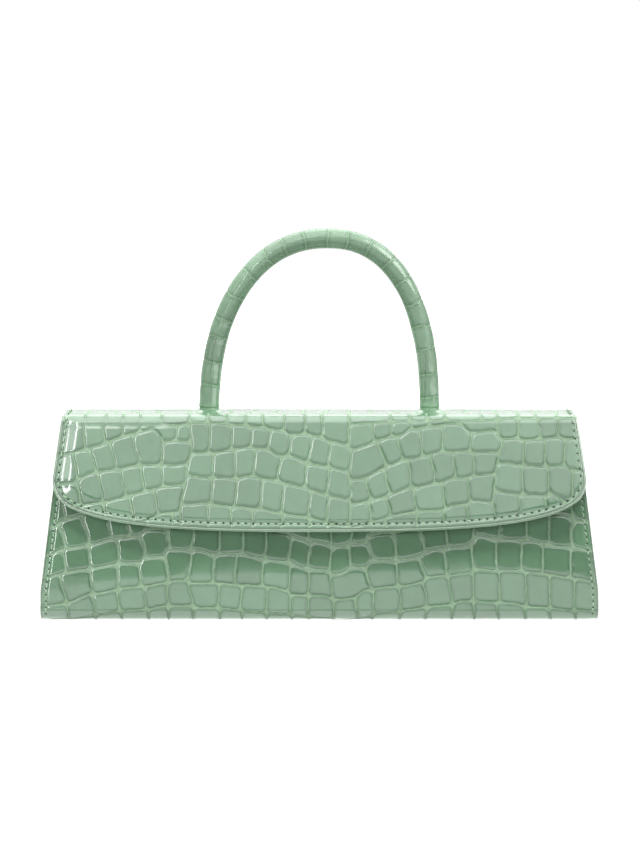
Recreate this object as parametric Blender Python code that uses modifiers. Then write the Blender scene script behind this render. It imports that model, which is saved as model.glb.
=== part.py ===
"""Top handle bag: a long, low, structured bag with one round handle and a stitched front flap.

Metres, +Z up. The origin is the centre of the base, and the front faces -Y. Profiles are
(y, z) points that run anticlockwise seen with +Y to the right, so that inwards is to their left.
"""

import math
from itertools import pairwise

import bmesh
import bpy
from mathutils import Matrix, Vector

# Outer form
BASE_WIDTH = 0.269
TOP_WIDTH = 0.249
BASE_DEPTH = 0.068
TOP_DEPTH = 0.044
BODY_HEIGHT = 0.0985
SKIRT_HEIGHT = 0.0145
BASE_RADIUS = 0.005
FOLD_RADIUS = 0.005

# Sheets, and the gap that neighbouring pieces keep
LEATHER = 0.0014
BOARD = 0.0010
LINING = 0.0007
FILLER = 0.0005
GAP = 0.0003
BOARD_TRIM = 0.003
ROOF_TRIM = 0.003

# Lip: the front drop of the flap
LIP_DROP = 0.0555
LIP_SHOULDER = 0.0297
LIP_WIDTH = 0.2572
LIP_SQUARENESS = 2.9
LIP_CLEARANCE = 0.0009
LINING_MARGIN = 0.0012
FILLER_MARGIN = 0.0060

# Gussets, mouth facing and pocket
GUSSET_RECESS = 0.005
FACING_HEIGHT = 0.016
POCKET_WIDTH = 0.130
POCKET_TOP = 0.074
POCKET_HEIGHT = 0.048
BINDING_HEIGHT = 0.007
BINDING = 0.0006

# Handle, its feet and what holds them to the roof
HANDLE_SPAN = 0.1074
HANDLE_RISE = 0.0845
HANDLE_SQUARENESS = 2.25
HANDLE_LEAN = 0.0035
HANDLE_RADIUS = 0.0046
HANDLE_LEATHER = 0.0011
MOUND_RADIUS = 0.0085
MOUND_TOP_RADIUS = 0.0060
MOUND_HEIGHT = 0.0014
FERRULE_RADIUS = 0.0030
FERRULE_HEIGHT = 0.0070
FLANGE_RADIUS = 0.0080
SCREW_RADIUS = 0.0018
SCREW_REACH = 0.0050
SCREW_HEAD_RADIUS = 0.0040
SCREW_HEAD_HEIGHT = 0.0016
ANCHOR_WASHER_RADIUS = 0.0060
ANCHOR_WASHER = 0.0008

# Magnetic closure, which also sets how far the lip stands out from the front panel
SNAP_RISE = 0.013
SNAP_PLAY = 0.0006
SNAP_RADIUS = 0.0070
SOCKET_HEIGHT = 0.0009
SOCKET_FLOOR = 0.0003
RECESS_RADIUS = 0.0032
STUD_RADIUS = 0.0062
STUD_HEIGHT = 0.0006
NUB_RADIUS = 0.0017
NUB_HEIGHT = 0.0006
POST_RADIUS = 0.0015
SNAP_WASHER_RADIUS = 0.0060
SNAP_WASHER = 0.0004

# Sewing thread
THREAD_RADIUS = 0.0003
FLAP_SEAM_INSET = 0.0034
SIDE_SEAM_INSET = 0.0027
SIDE_SEAM_LOW = 0.013
SIDE_SEAM_HIGH = 0.078

# How finely round stretches are divided
ARC_STEPS = 6
LIP_STEPS = 30
TURN_STEPS = 20
HANDLE_STEPS = 26

# What follows from the sizes above
ROOF_STACK = LEATHER + GAP + BOARD + GAP + LINING
LIP_STACK = LEATHER + GAP + FILLER + GAP + LINING
FOLD_HEIGHT = BODY_HEIGHT - FOLD_RADIUS
SPLIT_TURN = math.degrees(GAP / (FOLD_RADIUS - LEATHER)) / 2
FRONT_FOLD = Vector((FOLD_RADIUS - TOP_DEPTH / 2, FOLD_HEIGHT))
BACK_FOLD = Vector((TOP_DEPTH / 2 - FOLD_RADIUS, FOLD_HEIGHT))
FRONT_CORNER = Vector((BASE_RADIUS - BASE_DEPTH / 2, BASE_RADIUS))
BACK_CORNER = Vector((BASE_DEPTH / 2 - BASE_RADIUS, BASE_RADIUS))
FRONT_TOP = Vector((LIP_STACK + LIP_CLEARANCE - TOP_DEPTH / 2, BODY_HEIGHT - ROOF_STACK - 2 * GAP))


def direction(turn):
    """Unit vector in a profile, at a turn in degrees from the first axis."""
    return Vector((math.cos(math.radians(turn)), math.sin(math.radians(turn))))


def spaced(start, end, steps):
    """Evenly spaced values from start to end."""
    return [start + (end - start) * step / steps for step in range(steps + 1)]


def signed_power(value, power):
    return math.copysign(abs(value) ** power, value)


def half_width(z):
    """Half the bag's width at a height: upright at the skirt, then leaning in up to the roof."""
    share = (z - SKIRT_HEIGHT) / (BODY_HEIGHT - SKIRT_HEIGHT)
    return (BASE_WIDTH + (TOP_WIDTH - BASE_WIDTH) * min(max(share, 0.0), 1.0)) / 2


def inside_gussets(z):
    return half_width(z) - GUSSET_RECESS - LEATHER - GAP


def arc(centre, radius, start, end):
    return [centre + radius * direction(turn) for turn in spaced(start, end, ARC_STEPS)]


def tangent_turn(low, low_radius, high, high_radius, side):
    """Outward direction, in degrees, of the straight that touches two circles on one side."""
    run = high - low
    square = math.degrees(math.acos((low_radius - high_radius) / run.length))
    return math.degrees(math.atan2(run.y, run.x)) - side * square


FRONT_TURN = tangent_turn(FRONT_CORNER, BASE_RADIUS, FRONT_TOP, 0.0, -1)
BACK_TURN = tangent_turn(BACK_CORNER, BASE_RADIUS, BACK_FOLD, FOLD_RADIUS, 1)


def wall_chain():
    """Outer profile of the body: down the front panel, along the base and up the back panel."""
    front = arc(FRONT_CORNER, BASE_RADIUS, FRONT_TURN, 270)
    back = arc(BACK_CORNER, BASE_RADIUS, 270, 360 + BACK_TURN)
    return [FRONT_TOP] + front + back + [BACK_FOLD + FOLD_RADIUS * direction(BACK_TURN)]


def offset_chain(chain, depth):
    """A profile moved inwards by a depth, with its corners kept."""
    runs = [(b - a).normalized() for a, b in pairwise(chain)]
    moved = []
    for place, point in enumerate(chain):
        sides = [Vector((-run.y, run.x)) for run in runs[max(place - 1, 0):place + 1]]
        middle = sum(sides, Vector((0.0, 0.0))).normalized()
        moved.append(point + middle * depth / middle.dot(sides[0]))
    return moved


def trimmed(chain, start, end):
    """A profile shortened at its two ends."""
    first = chain[0] + (chain[1] - chain[0]).normalized() * start
    last = chain[-1] + (chain[-2] - chain[-1]).normalized() * end
    return [first] + chain[1:-1] + [last]


def cut_at(chain, z):
    """A profile with a point added wherever it crosses a height."""
    points = [chain[0]]
    for a, b in pairwise(chain):
        if (a.y - z) * (b.y - z) < 0:
            points.append(a.lerp(b, (z - a.y) / (b.y - a.y)))
        points.append(b)
    return points


def on_chain(chain, z):
    """Point where a straight profile reaches a height."""
    return chain[0].lerp(chain[-1], (z - chain[0].y) / (chain[-1].y - chain[0].y))


SNAP_STACK = GAP + SOCKET_HEIGHT + SNAP_PLAY + STUD_HEIGHT + GAP
SNAP_SEAT = on_chain(wall_chain()[:2], BODY_HEIGHT - LIP_DROP + SNAP_RISE)
SNAP_FRONT = SNAP_SEAT + direction(FRONT_TURN) * (SNAP_STACK + LIP_STACK)
LIP_TURN = tangent_turn(SNAP_FRONT, 0.0, FRONT_FOLD, FOLD_RADIUS, -1)


def material(name, colour, roughness, metallic=0.0):
    look = bpy.data.materials.new(name)
    look.use_nodes = True
    shader = look.node_tree.nodes["Principled BSDF"]
    shader.inputs["Base Color"].default_value = (*colour, 1.0)
    shader.inputs["Roughness"].default_value = roughness
    shader.inputs["Metallic"].default_value = metallic
    look.diffuse_color = (*colour, 1.0)
    return look


def smooth(mesh):
    mesh.shade_smooth()
    mesh.set_sharp_from_angle(angle=math.radians(40))


def add(name, mesh, look, pivot=None):
    """Put a mesh in the bag's collection, carried by a pivot where it moves."""
    piece = bpy.data.objects.new(name, mesh)
    mesh.materials.append(look)
    parts.objects.link(piece)
    if pivot:
        piece.parent = pivot
        piece.matrix_parent_inverse = Matrix.Translation(-pivot.location)
    return piece


def finished(shape, name):
    """Mesh of a closed bmesh, faces outwards."""
    bmesh.ops.recalc_face_normals(shape, faces=shape.faces)
    mesh = bpy.data.meshes.new(name)
    shape.to_mesh(mesh)
    shape.free()
    smooth(mesh)
    return mesh


def extruded(shape):
    """Extrude a bmesh's flat face or band, and return the set of new vertices."""
    result = bmesh.ops.extrude_face_region(shape, geom=shape.faces[:])
    return {item for item in result["geom"] if isinstance(item, bmesh.types.BMVert)}


def sheet(name, chain, depth, thickness, width_at, look, pivot=None):
    """A sheet along a profile, from side to side of the bag, some depth inside that profile."""
    outer = cut_at(offset_chain(chain, depth), SKIRT_HEIGHT)
    inner = cut_at(offset_chain(chain, depth + thickness), SKIRT_HEIGHT)
    shape = bmesh.new()
    rungs = [[shape.verts.new((-1.0, p.x, p.y)) for p in pair] for pair in zip(outer, inner)]
    for (a, b), (c, d) in pairwise(rungs):
        shape.faces.new((a, b, d, c))
    bmesh.ops.translate(shape, verts=list(extruded(shape)), vec=(2.0, 0.0, 0.0))
    for vert in shape.verts:
        vert.co.x *= width_at(vert.co.z)
    return add(name, finished(shape, name), look, pivot)


def side_plate(name, outline, inset, thickness, side, look):
    """A plate across one side of the bag, its outer face some inset in from the side's edge."""
    shape = bmesh.new()
    shape.faces.new([shape.verts.new((0.0, p.x, p.y)) for p in outline])
    everything = shape.verts[:] + shape.edges[:] + shape.faces[:]
    skirt_top = (0.0, 0.0, SKIRT_HEIGHT)
    bmesh.ops.bisect_plane(shape, geom=everything, plane_co=skirt_top, plane_no=(0.0, 0.0, 1.0))
    new = extruded(shape)
    for vert in shape.verts:
        vert.co.x = side * (half_width(vert.co.z) - inset - (thickness if vert in new else 0.0))
    return add(name, finished(shape, name), look)


def turned(name, profile, at, way, look, pivot=None, ring=False):
    """A turned piece: a profile of (radius, height) points about an axis through a point."""
    count = len(profile)
    edges = [(n, (n + 1) % count) for n in range(count if ring else count - 1)]
    mesh = bpy.data.meshes.new(name)
    mesh.from_pydata([(radius, 0.0, height) for radius, height in profile], edges, [])
    piece = add(name, mesh, look, pivot)
    piece.matrix_world = aimed(at, way)
    screw = piece.modifiers.new("Turn", "SCREW")
    screw.steps = TURN_STEPS
    screw.render_steps = TURN_STEPS
    screw.use_merge_vertices = True
    screw.merge_threshold = 0.00001
    return piece


def as_cutter(tool):
    """Keep a tool with the cutters, out of the model."""
    for home in tool.users_collection:
        home.objects.unlink(tool)
    cutters.objects.link(tool)
    tool.hide_render = True
    tool.display_type = "WIRE"
    return tool


def aimed(at, way):
    """Placement at a point, with +Z turned along a direction."""
    return Matrix.Translation(at) @ Vector(way).to_track_quat("Z", "Y").to_matrix().to_4x4()


def cutter(name, radius, length, at, way, top_radius=None):
    """A round cutter along a direction, centred on a point."""
    shape = bmesh.new()
    bmesh.ops.create_cone(
        shape,
        cap_ends=True,
        segments=TURN_STEPS,
        radius1=radius,
        radius2=radius if top_radius is None else top_radius,
        depth=length,
    )
    mesh = bpy.data.meshes.new(name)
    shape.to_mesh(mesh)
    shape.free()
    tool = as_cutter(bpy.data.objects.new(name, mesh))
    tool.matrix_world = aimed(at, way)
    return tool


def boolean(piece, tool, operation="DIFFERENCE"):
    step = piece.modifiers.new(tool.name, "BOOLEAN")
    step.operation = operation
    step.object = tool


def across(point, x=0.0):
    """A profile's point as a place in the bag."""
    return Vector((x, point.x, point.y))


# Body: leather, boards and linings

def build_body():
    wall = wall_chain()
    fold = arc(BACK_FOLD, FOLD_RADIUS, BACK_TURN, 45 - SPLIT_TURN)
    wrap = sheet("body_wrap", wall[:-1] + fold, 0.0, LEATHER, half_width, leather)
    front = wall[:2]
    base = wall[1 + ARC_STEPS:3 + ARC_STEPS]
    back = wall[-2:]
    layer = LEATHER + GAP
    boards = {
        name: sheet(name, trimmed(run, BOARD_TRIM, BOARD_TRIM), layer, BOARD, inside_gussets, card)
        for name, run in (("front_board", front), ("base_board", base), ("back_board", back))
    }
    layer += BOARD + GAP
    lining = trimmed(wall, FACING_HEIGHT + GAP, 0.0)
    sheet("body_lining", lining, layer, LINING, inside_gussets, twill)
    facing = trimmed(front, 0.0, (front[1] - front[0]).length - FACING_HEIGHT)
    sheet("mouth_facing", facing, layer, LINING, inside_gussets, leather)
    build_gussets(wall, layer)
    build_pocket(back, layer + LINING)
    build_socket(wrap, boards["front_board"])
    build_side_seams(front, back)


def build_gussets(wall, layer):
    """Side panels: trays whose rims are sewn to the inside of the wrap's edges."""
    outline = offset_chain(wall, LEATHER + GAP)
    hollow = offset_chain(wall, 2 * LEATHER + GAP)
    above = Vector((0.0, ROOF_STACK))
    hollow = [hollow[0] + above] + hollow + [hollow[-1] + above]
    inner = offset_chain(wall, layer + LINING + GAP)
    for side, place in ((-1, "left"), (1, "right")):
        gusset = side_plate(f"gusset_{place}", outline, 0.0, GUSSET_RECESS + LEATHER, side, leather)
        tray = side_plate(f"tray_{place}", hollow, -LEATHER, GUSSET_RECESS + LEATHER, side, leather)
        boolean(gusset, as_cutter(tray))
        depth = GUSSET_RECESS + LEATHER + GAP
        side_plate(f"gusset_lining_{place}", inner, depth, LINING, side, twill)


def build_pocket(back, layer):
    """Slip pocket: a panel flat on the back lining, with a strip of leather on its mouth."""
    low = on_chain(back, POCKET_TOP - POCKET_HEIGHT)
    high = on_chain(back, POCKET_TOP)
    mouth = trimmed([low, high], (high - low).length - BINDING_HEIGHT, 0.0)

    def pocket_width(z):
        return POCKET_WIDTH / 2

    sheet("pocket_panel", [low, high], layer + GAP, LINING, pocket_width, twill)
    sheet("pocket_binding", mouth, layer + GAP + LINING + GAP, BINDING, pocket_width, leather)


def build_socket(wrap, board):
    """Lower half of the magnetic closure, riveted through the front panel to a washer."""
    at = across(SNAP_SEAT)
    way = across(direction(FRONT_TURN))
    depth = LEATHER + GAP + SNAP_WASHER
    face = GAP + SOCKET_HEIGHT
    profile = [
        (0.0, GAP + SOCKET_FLOOR),
        (RECESS_RADIUS, GAP + SOCKET_FLOOR),
        (RECESS_RADIUS, face),
        (SNAP_RADIUS - GAP, face),
        (SNAP_RADIUS, face - GAP),
        (SNAP_RADIUS, GAP),
        (POST_RADIUS, GAP),
        (POST_RADIUS, -depth),
        (0.0, -depth),
    ]
    turned("snap_socket", profile, at, way, steel)
    ring = washer(SNAP_WASHER_RADIUS, POST_RADIUS, -depth, SNAP_WASHER)
    turned("snap_socket_washer", ring, at, way, steel, ring=True)
    boolean(wrap, cutter("socket_hole", POST_RADIUS + GAP, 4 * LEATHER, at, way))
    boolean(board, cutter("socket_seat", SNAP_WASHER_RADIUS + GAP, 4 * ROOF_STACK, at, way))


def washer(radius, shaft, low, thickness):
    """Profile of a flat ring that clears a shaft."""
    return [
        (radius, low + thickness),
        (radius, low),
        (shaft + GAP, low),
        (shaft + GAP, low + thickness),
    ]


def build_side_seams(front, back):
    """Threads that hold wrap and gussets together, down the edges of front and back."""
    for name, run, turn in (("front", front, FRONT_TURN), ("back", back, BACK_TURN)):
        for side, place in ((-1, "left"), (1, "right")):
            heights = (SIDE_SEAM_LOW, SKIRT_HEIGHT, SIDE_SEAM_HIGH)
            line = [across(on_chain(run, z), side * (half_width(z) - SIDE_SEAM_INSET)) for z in heights]
            sew(f"seam_thread_{name}_{place}", line, across(direction(turn)))


def sew(name, line, out, pivot=None):
    """A seam's thread, lying on a surface that faces out."""
    route = [point + out * (GAP + THREAD_RADIUS) for point in line]
    add(name, tube(name, route, THREAD_RADIUS, 1), thread, pivot)


def tube(name, route, radius, resolution):
    """Mesh of a round cord through a list of points, with closed ends."""
    curve = bpy.data.curves.new(name, "CURVE")
    curve.dimensions = "3D"
    curve.bevel_depth = radius
    curve.bevel_resolution = resolution
    curve.use_fill_caps = True
    line = curve.splines.new("POLY")
    line.points.add(len(route) - 1)
    for point, place in zip(line.points, route):
        point.co = (*place, 1.0)
    holder = bpy.data.objects.new(name, curve)
    parts.objects.link(holder)
    bpy.context.view_layer.update()
    evaluated = holder.evaluated_get(bpy.context.evaluated_depsgraph_get())
    mesh = bpy.data.meshes.new_from_object(evaluated)
    bpy.data.objects.remove(holder)
    shape = bmesh.new()
    shape.from_mesh(mesh)
    bmesh.ops.remove_doubles(shape, verts=shape.verts, dist=0.00001)
    return finished(shape, name)


# Roof: leather, board and lining of the flap's top

def build_roof():
    back = arc(BACK_FOLD, FOLD_RADIUS, 45 + SPLIT_TURN, 90)
    chain = back + arc(FRONT_FOLD, FOLD_RADIUS, 90, 135 - SPLIT_TURN)
    flat = [Vector((fold.x, BODY_HEIGHT)) for fold in (BACK_FOLD, FRONT_FOLD)]

    def roof_width(z):
        return TOP_WIDTH / 2 - ROOF_TRIM

    skin = sheet("roof_leather", chain, 0.0, LEATHER, half_width, leather, flap)
    board = sheet("roof_board", flat, LEATHER + GAP, BOARD, roof_width, card, flap)
    lining = sheet("roof_lining", flat, LEATHER + 2 * GAP + BOARD, LINING, roof_width, twill, flap)
    up = (0.0, 0.0, 1.0)
    for side, place in ((-1, "left"), (1, "right")):
        foot = Vector((side * HANDLE_SPAN / 2, 0.0, BODY_HEIGHT))
        mound_at = foot + Vector((0.0, 0.0, (MOUND_HEIGHT - LEATHER / 2) / 2))
        rise = MOUND_HEIGHT + LEATHER / 2
        mound = cutter(f"mound_{place}", MOUND_RADIUS, rise, mound_at, up, MOUND_TOP_RADIUS)
        boolean(skin, mound, "UNION")
        boolean(skin, cutter(f"foot_hole_{place}", HANDLE_RADIUS + GAP, 8 * LEATHER, foot, up))
        boolean(board, cutter(f"flange_seat_{place}", FLANGE_RADIUS + GAP, 8 * LEATHER, foot, up))
        boolean(lining, cutter(f"screw_hole_{place}", SCREW_RADIUS + GAP, 8 * LEATHER, foot, up))
        build_anchor(place, foot)


def build_anchor(place, foot):
    """Metal end of the handle, with the screw and washer that draw it down on the roof."""
    up = (0.0, 0.0, 1.0)
    flange_top = -LEATHER - GAP
    flange_low = flange_top - BOARD
    bore = SCREW_RADIUS + GAP
    ferrule = [
        (0.0, FERRULE_HEIGHT),
        (FERRULE_RADIUS, FERRULE_HEIGHT),
        (FERRULE_RADIUS, flange_top),
        (FLANGE_RADIUS, flange_top),
        (FLANGE_RADIUS, flange_low),
        (bore, flange_low),
        (bore, SCREW_REACH + GAP),
        (0.0, SCREW_REACH + GAP),
    ]
    turned(f"handle_ferrule_{place}", ferrule, foot, up, steel, flap)
    washer_low = -ROOF_STACK - GAP - ANCHOR_WASHER
    ring = washer(ANCHOR_WASHER_RADIUS, SCREW_RADIUS, washer_low, ANCHOR_WASHER)
    turned(f"anchor_washer_{place}", ring, foot, up, steel, flap, ring=True)
    head_top = washer_low - GAP
    screw = [
        (0.0, SCREW_REACH),
        (SCREW_RADIUS, SCREW_REACH),
        (SCREW_RADIUS, head_top),
        (SCREW_HEAD_RADIUS, head_top),
        (SCREW_HEAD_RADIUS, head_top - SCREW_HEAD_HEIGHT + GAP),
        (SCREW_HEAD_RADIUS - GAP, head_top - SCREW_HEAD_HEIGHT),
        (0.0, head_top - SCREW_HEAD_HEIGHT),
    ]
    turned(f"anchor_screw_{place}", screw, foot, up, steel, flap)


# Handle

def handle_point(turn, base):
    """Point of the handle's centre line, from its right foot at 0 to its left foot at 180 degrees."""
    along, up = direction(turn)
    power = 2 / HANDLE_SQUARENESS
    height = HANDLE_RISE * max(up, 0.0) ** power
    x = signed_power(along, power) * HANDLE_SPAN / 2 + HANDLE_LEAN * (height / HANDLE_RISE) ** 2
    return (x, 0.0, base + height)


def handle_route(first_turn=0.0):
    """The handle's centre line, from a turn in degrees past each foot."""
    return [handle_point(turn, BODY_HEIGHT) for turn in spaced(first_turn, 180 - first_turn, HANDLE_STEPS)]


def with_ends(route, low):
    """A route whose two ends run straight down to a height."""
    ends = [(x, y, low) for x, y, z in (route[0], route[-1])]
    return [ends[0]] + route + [ends[1]]


def build_handle():
    low = BODY_HEIGHT - LEATHER
    route = handle_route()
    cover_mesh = tube("handle_cover", with_ends(route, low), HANDLE_RADIUS, 4)
    cover = add("handle_cover", cover_mesh, leather, flap)
    bore_radius = HANDLE_RADIUS - HANDLE_LEATHER
    bore_mesh = tube("handle_bore", with_ends(route, low - LEATHER), bore_radius, 4)
    boolean(cover, as_cutter(bpy.data.objects.new("handle_bore", bore_mesh)))
    share = (FERRULE_HEIGHT + GAP) / HANDLE_RISE
    core_turn = math.degrees(math.asin(share ** (HANDLE_SQUARENESS / 2)))
    core_mesh = tube("handle_core", handle_route(core_turn), bore_radius - 1.5 * GAP, 2)
    add("handle_core", core_mesh, cord, flap)


# Lip: the front drop of the flap

LIP_TOP = FRONT_FOLD + FOLD_RADIUS * direction(LIP_TURN)
LIP_WIDEST = BODY_HEIGHT - LIP_SHOULDER
LIP_OUT = across(direction(LIP_TURN))


def lip_half_width(z):
    """Half the lip's width between the roof and its widest height."""
    share = min(max((BODY_HEIGHT - z) / LIP_SHOULDER, 0.0), 1.0)
    return (TOP_WIDTH + (LIP_WIDTH - TOP_WIDTH) * share) / 2


def on_lip(x, z):
    """Place on the lip's outer face."""
    return Vector((x, LIP_TOP.x + (LIP_TOP.y - z) * math.tan(math.radians(LIP_TURN)), z))


def lip_outline(inset):
    """Outline of the lip, in from its edge, from the top left round the lower edge to the top right."""
    half = LIP_WIDTH / 2 - inset
    drop = LIP_DROP - LIP_SHOULDER - inset
    power = 2 / LIP_SQUARENESS
    top = LIP_TOP.y
    points = [on_lip(inset - lip_half_width(top), top)]
    for turn in spaced(180, 360, LIP_STEPS):
        along, up = direction(turn)
        points.append(on_lip(half * signed_power(along, power), LIP_WIDEST - drop * abs(up) ** power))
    points.append(on_lip(lip_half_width(top) - inset, top))
    return points


def lip_plate(name, inset, depth, thickness, look):
    """A flat layer of the lip, some depth behind its outer face."""
    shape = bmesh.new()
    shape.faces.new([shape.verts.new(point - LIP_OUT * depth) for point in lip_outline(inset)])
    bmesh.ops.translate(shape, verts=list(extruded(shape)), vec=-LIP_OUT * thickness)
    return add(name, finished(shape, name), look, lip)


def build_lip_leather():
    """Outer leather of the lip, with its half of the front fold."""
    shape = bmesh.new()
    verts = [shape.verts.new(point) for point in lip_outline(0.0)]
    face = shape.faces.new(verts)
    face.normal_update()
    if face.normal.y > 0:
        bmesh.ops.reverse_faces(shape, faces=[face])
    top = shape.edges.get((verts[0], verts[-1]))
    bmesh.ops.spin(
        shape,
        geom=[verts[0], verts[-1], top],
        cent=across(FRONT_FOLD),
        axis=(1.0, 0.0, 0.0),
        angle=math.radians(135 + SPLIT_TURN - LIP_TURN),
        steps=ARC_STEPS,
    )
    bmesh.ops.remove_doubles(shape, verts=shape.verts, dist=0.00001)
    for vert in shape.verts:
        if vert.co.z > LIP_TOP.y:
            vert.co.x = math.copysign(lip_half_width(vert.co.z), vert.co.x)
    mesh = bpy.data.meshes.new("lip_leather")
    shape.to_mesh(mesh)
    shape.free()
    smooth(mesh)
    skin = add("lip_leather", mesh, leather, lip)
    thicken = skin.modifiers.new("Thickness", "SOLIDIFY")
    thicken.thickness = LEATHER
    thicken.offset = -1.0
    thicken.use_even_offset = True


def build_lip():
    build_lip_leather()
    filler = lip_plate("lip_stiffener", FILLER_MARGIN, LEATHER + GAP, FILLER, card)
    lining = lip_plate("lip_lining", LINING_MARGIN, LEATHER + 2 * GAP + FILLER, LINING, twill)
    build_stud(filler, lining)
    sew("flap_thread", lip_outline(FLAP_SEAM_INSET), LIP_OUT, lip)


def build_stud(filler, lining):
    """Upper half of the magnetic closure, opposite the socket."""
    socket = across(SNAP_SEAT)
    inner = across(LIP_TOP) - LIP_OUT * LIP_STACK
    at = socket + LIP_OUT * (inner - socket).dot(LIP_OUT)
    way = -LIP_OUT
    depth = LINING + GAP + SNAP_WASHER
    face = GAP + STUD_HEIGHT
    profile = [
        (0.0, face + NUB_HEIGHT),
        (NUB_RADIUS, face + NUB_HEIGHT),
        (NUB_RADIUS, face),
        (STUD_RADIUS - GAP, face),
        (STUD_RADIUS, face - GAP),
        (STUD_RADIUS, GAP),
        (POST_RADIUS, GAP),
        (POST_RADIUS, -depth),
        (0.0, -depth),
    ]
    turned("snap_stud", profile, at, way, steel, lip)
    ring = washer(SNAP_WASHER_RADIUS, POST_RADIUS, -depth, SNAP_WASHER)
    turned("snap_stud_washer", ring, at, way, steel, lip, ring=True)
    boolean(lining, cutter("stud_hole", POST_RADIUS + GAP, 8 * LINING, at, way))
    boolean(filler, cutter("stud_seat", SNAP_WASHER_RADIUS + GAP, 8 * LINING, at, way))


# Scene

for old in list(bpy.data.objects):
    bpy.data.objects.remove(old)

parts = bpy.data.collections.new("top_handle_bag")
cutters = bpy.data.collections.new("cutters")
bpy.context.scene.collection.children.link(parts)
bpy.context.scene.collection.children.link(cutters)

leather = material("green_leather", (0.27, 0.44, 0.30), 0.25)
twill = material("lining_twill", (0.62, 0.60, 0.52), 0.85)
card = material("stiffener_board", (0.55, 0.47, 0.36), 0.90)
cord = material("handle_filler", (0.80, 0.77, 0.68), 0.90)
steel = material("nickel_steel", (0.72, 0.71, 0.69), 0.28, 1.0)
thread = material("green_thread", (0.42, 0.60, 0.44), 0.60)

# The flap turns about the outside of the back fold, and the lip about the outside of the front fold
flap = bpy.data.objects.new("flap_hinge", None)
flap.location = across(BACK_FOLD + FOLD_RADIUS * direction(45))
parts.objects.link(flap)
lip = bpy.data.objects.new("lip_fold", None)
lip.location = across(FRONT_FOLD + FOLD_RADIUS * direction(135))
parts.objects.link(lip)

build_body()
build_roof()
build_handle()
build_lip()
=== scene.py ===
"""Looks of the top handle bag: embossed glossy leather, stitches, linings and fittings.

Metres, +Z up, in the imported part's frame, and the front faces -Y. Leather layouts are in
millimetres on the leather: x across the bag, and up along the leather from the base.
"""

import math

import bpy
import numpy as np
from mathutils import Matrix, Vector


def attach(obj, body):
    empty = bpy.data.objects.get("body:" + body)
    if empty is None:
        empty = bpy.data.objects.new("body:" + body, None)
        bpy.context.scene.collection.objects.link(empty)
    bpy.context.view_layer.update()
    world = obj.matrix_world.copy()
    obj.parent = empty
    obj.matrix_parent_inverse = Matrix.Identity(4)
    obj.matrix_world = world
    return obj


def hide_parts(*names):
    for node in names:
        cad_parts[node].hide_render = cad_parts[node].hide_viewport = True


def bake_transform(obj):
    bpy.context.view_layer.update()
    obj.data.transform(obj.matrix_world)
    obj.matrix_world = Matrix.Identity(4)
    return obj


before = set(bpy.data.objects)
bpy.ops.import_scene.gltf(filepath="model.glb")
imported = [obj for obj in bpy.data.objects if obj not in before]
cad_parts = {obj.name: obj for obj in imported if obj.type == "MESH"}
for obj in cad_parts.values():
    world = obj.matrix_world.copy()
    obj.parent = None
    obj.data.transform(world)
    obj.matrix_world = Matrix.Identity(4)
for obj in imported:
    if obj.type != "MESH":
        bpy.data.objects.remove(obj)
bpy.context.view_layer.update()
MM = 0.001

# Sizes that the part has too
BASE_WIDTH = 0.269
TOP_WIDTH = 0.249
BASE_DEPTH = 0.068
TOP_DEPTH = 0.044
BODY_HEIGHT = 0.0985
SKIRT_HEIGHT = 0.0145
BASE_RADIUS = 0.005
FOLD_RADIUS = 0.005
LEATHER = 0.0014
BOARD = 0.0010
LINING = 0.0007
FILLER = 0.0005
GAP = 0.0003
LIP_DROP = 0.0555
LIP_SHOULDER = 0.0297
LIP_WIDTH = 0.2572
LIP_SQUARENESS = 2.9
LIP_CLEARANCE = 0.0009
GUSSET_RECESS = 0.005
HANDLE_SPAN = 0.1074
HANDLE_RISE = 0.0845
HANDLE_SQUARENESS = 2.25
HANDLE_LEAN = 0.0035
HANDLE_RADIUS = 0.0046
HANDLE_LEATHER = 0.0011
MOUND_HEIGHT = 0.0014
SNAP_RISE = 0.013
SNAP_STACK = 0.0027
FLAP_SEAM_INSET = 0.0037
FLAP_SEAM_SIDE = 0.0026
SIDE_SEAM_INSET = 0.0027
LIP_STACK = LEATHER + GAP + FILLER + GAP + LINING
ROOF_STACK = LEATHER + GAP + BOARD + GAP + LINING

# Where the outer leather is divided into pieces, out of sight
ROOF_SPLIT = 0.0105
BASE_SPLIT = 0.020
FOLD_HUG = 0.0008


# Repeatable noise

def hashed(a, b, seed):
    """Repeatable numbers in -1..1 for pairs of whole numbers."""
    mixed = (a * 374761393 + b * 668265263 + seed * 362437) & 0x7FFFFFFF
    mixed = ((mixed ^ (mixed >> 13)) * 1274126177) & 0x7FFFFFFF
    return (mixed ^ (mixed >> 16)) % 65536 / 32768 - 1


def noise(x, y, seed):
    """Smooth noise in -1..1 whose features are about one unit apart."""
    x, y = np.broadcast_arrays(np.asarray(x, float), np.asarray(y, float))
    column, row = np.floor(x).astype(np.int64), np.floor(y).astype(np.int64)
    u, v = x - column, y - row
    u, v = u * u * (3 - 2 * u), v * v * (3 - 2 * v)
    low = hashed(column, row, seed) * (1 - u) + hashed(column + 1, row, seed) * u
    high = hashed(column, row + 1, seed) * (1 - u) + hashed(column + 1, row + 1, seed) * u
    return low * (1 - v) + high * v


def ease(value, start, end):
    """0 before start, 1 after end and smooth between."""
    share = np.clip((value - start) / (end - start), 0, 1)
    return share * share * (3 - 2 * share)


# Profiles of the bag, as (y, z)

def direction(turn):
    return np.array([math.cos(math.radians(turn)), math.sin(math.radians(turn))])


def tangent_turn(low, low_radius, high, high_radius, side):
    """Outward direction, in degrees, of the straight that touches two circles on one side."""
    run = high - low
    lean = math.degrees(math.acos((low_radius - high_radius) / math.hypot(*run)))
    return math.degrees(math.atan2(run[1], run[0])) - side * lean


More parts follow.
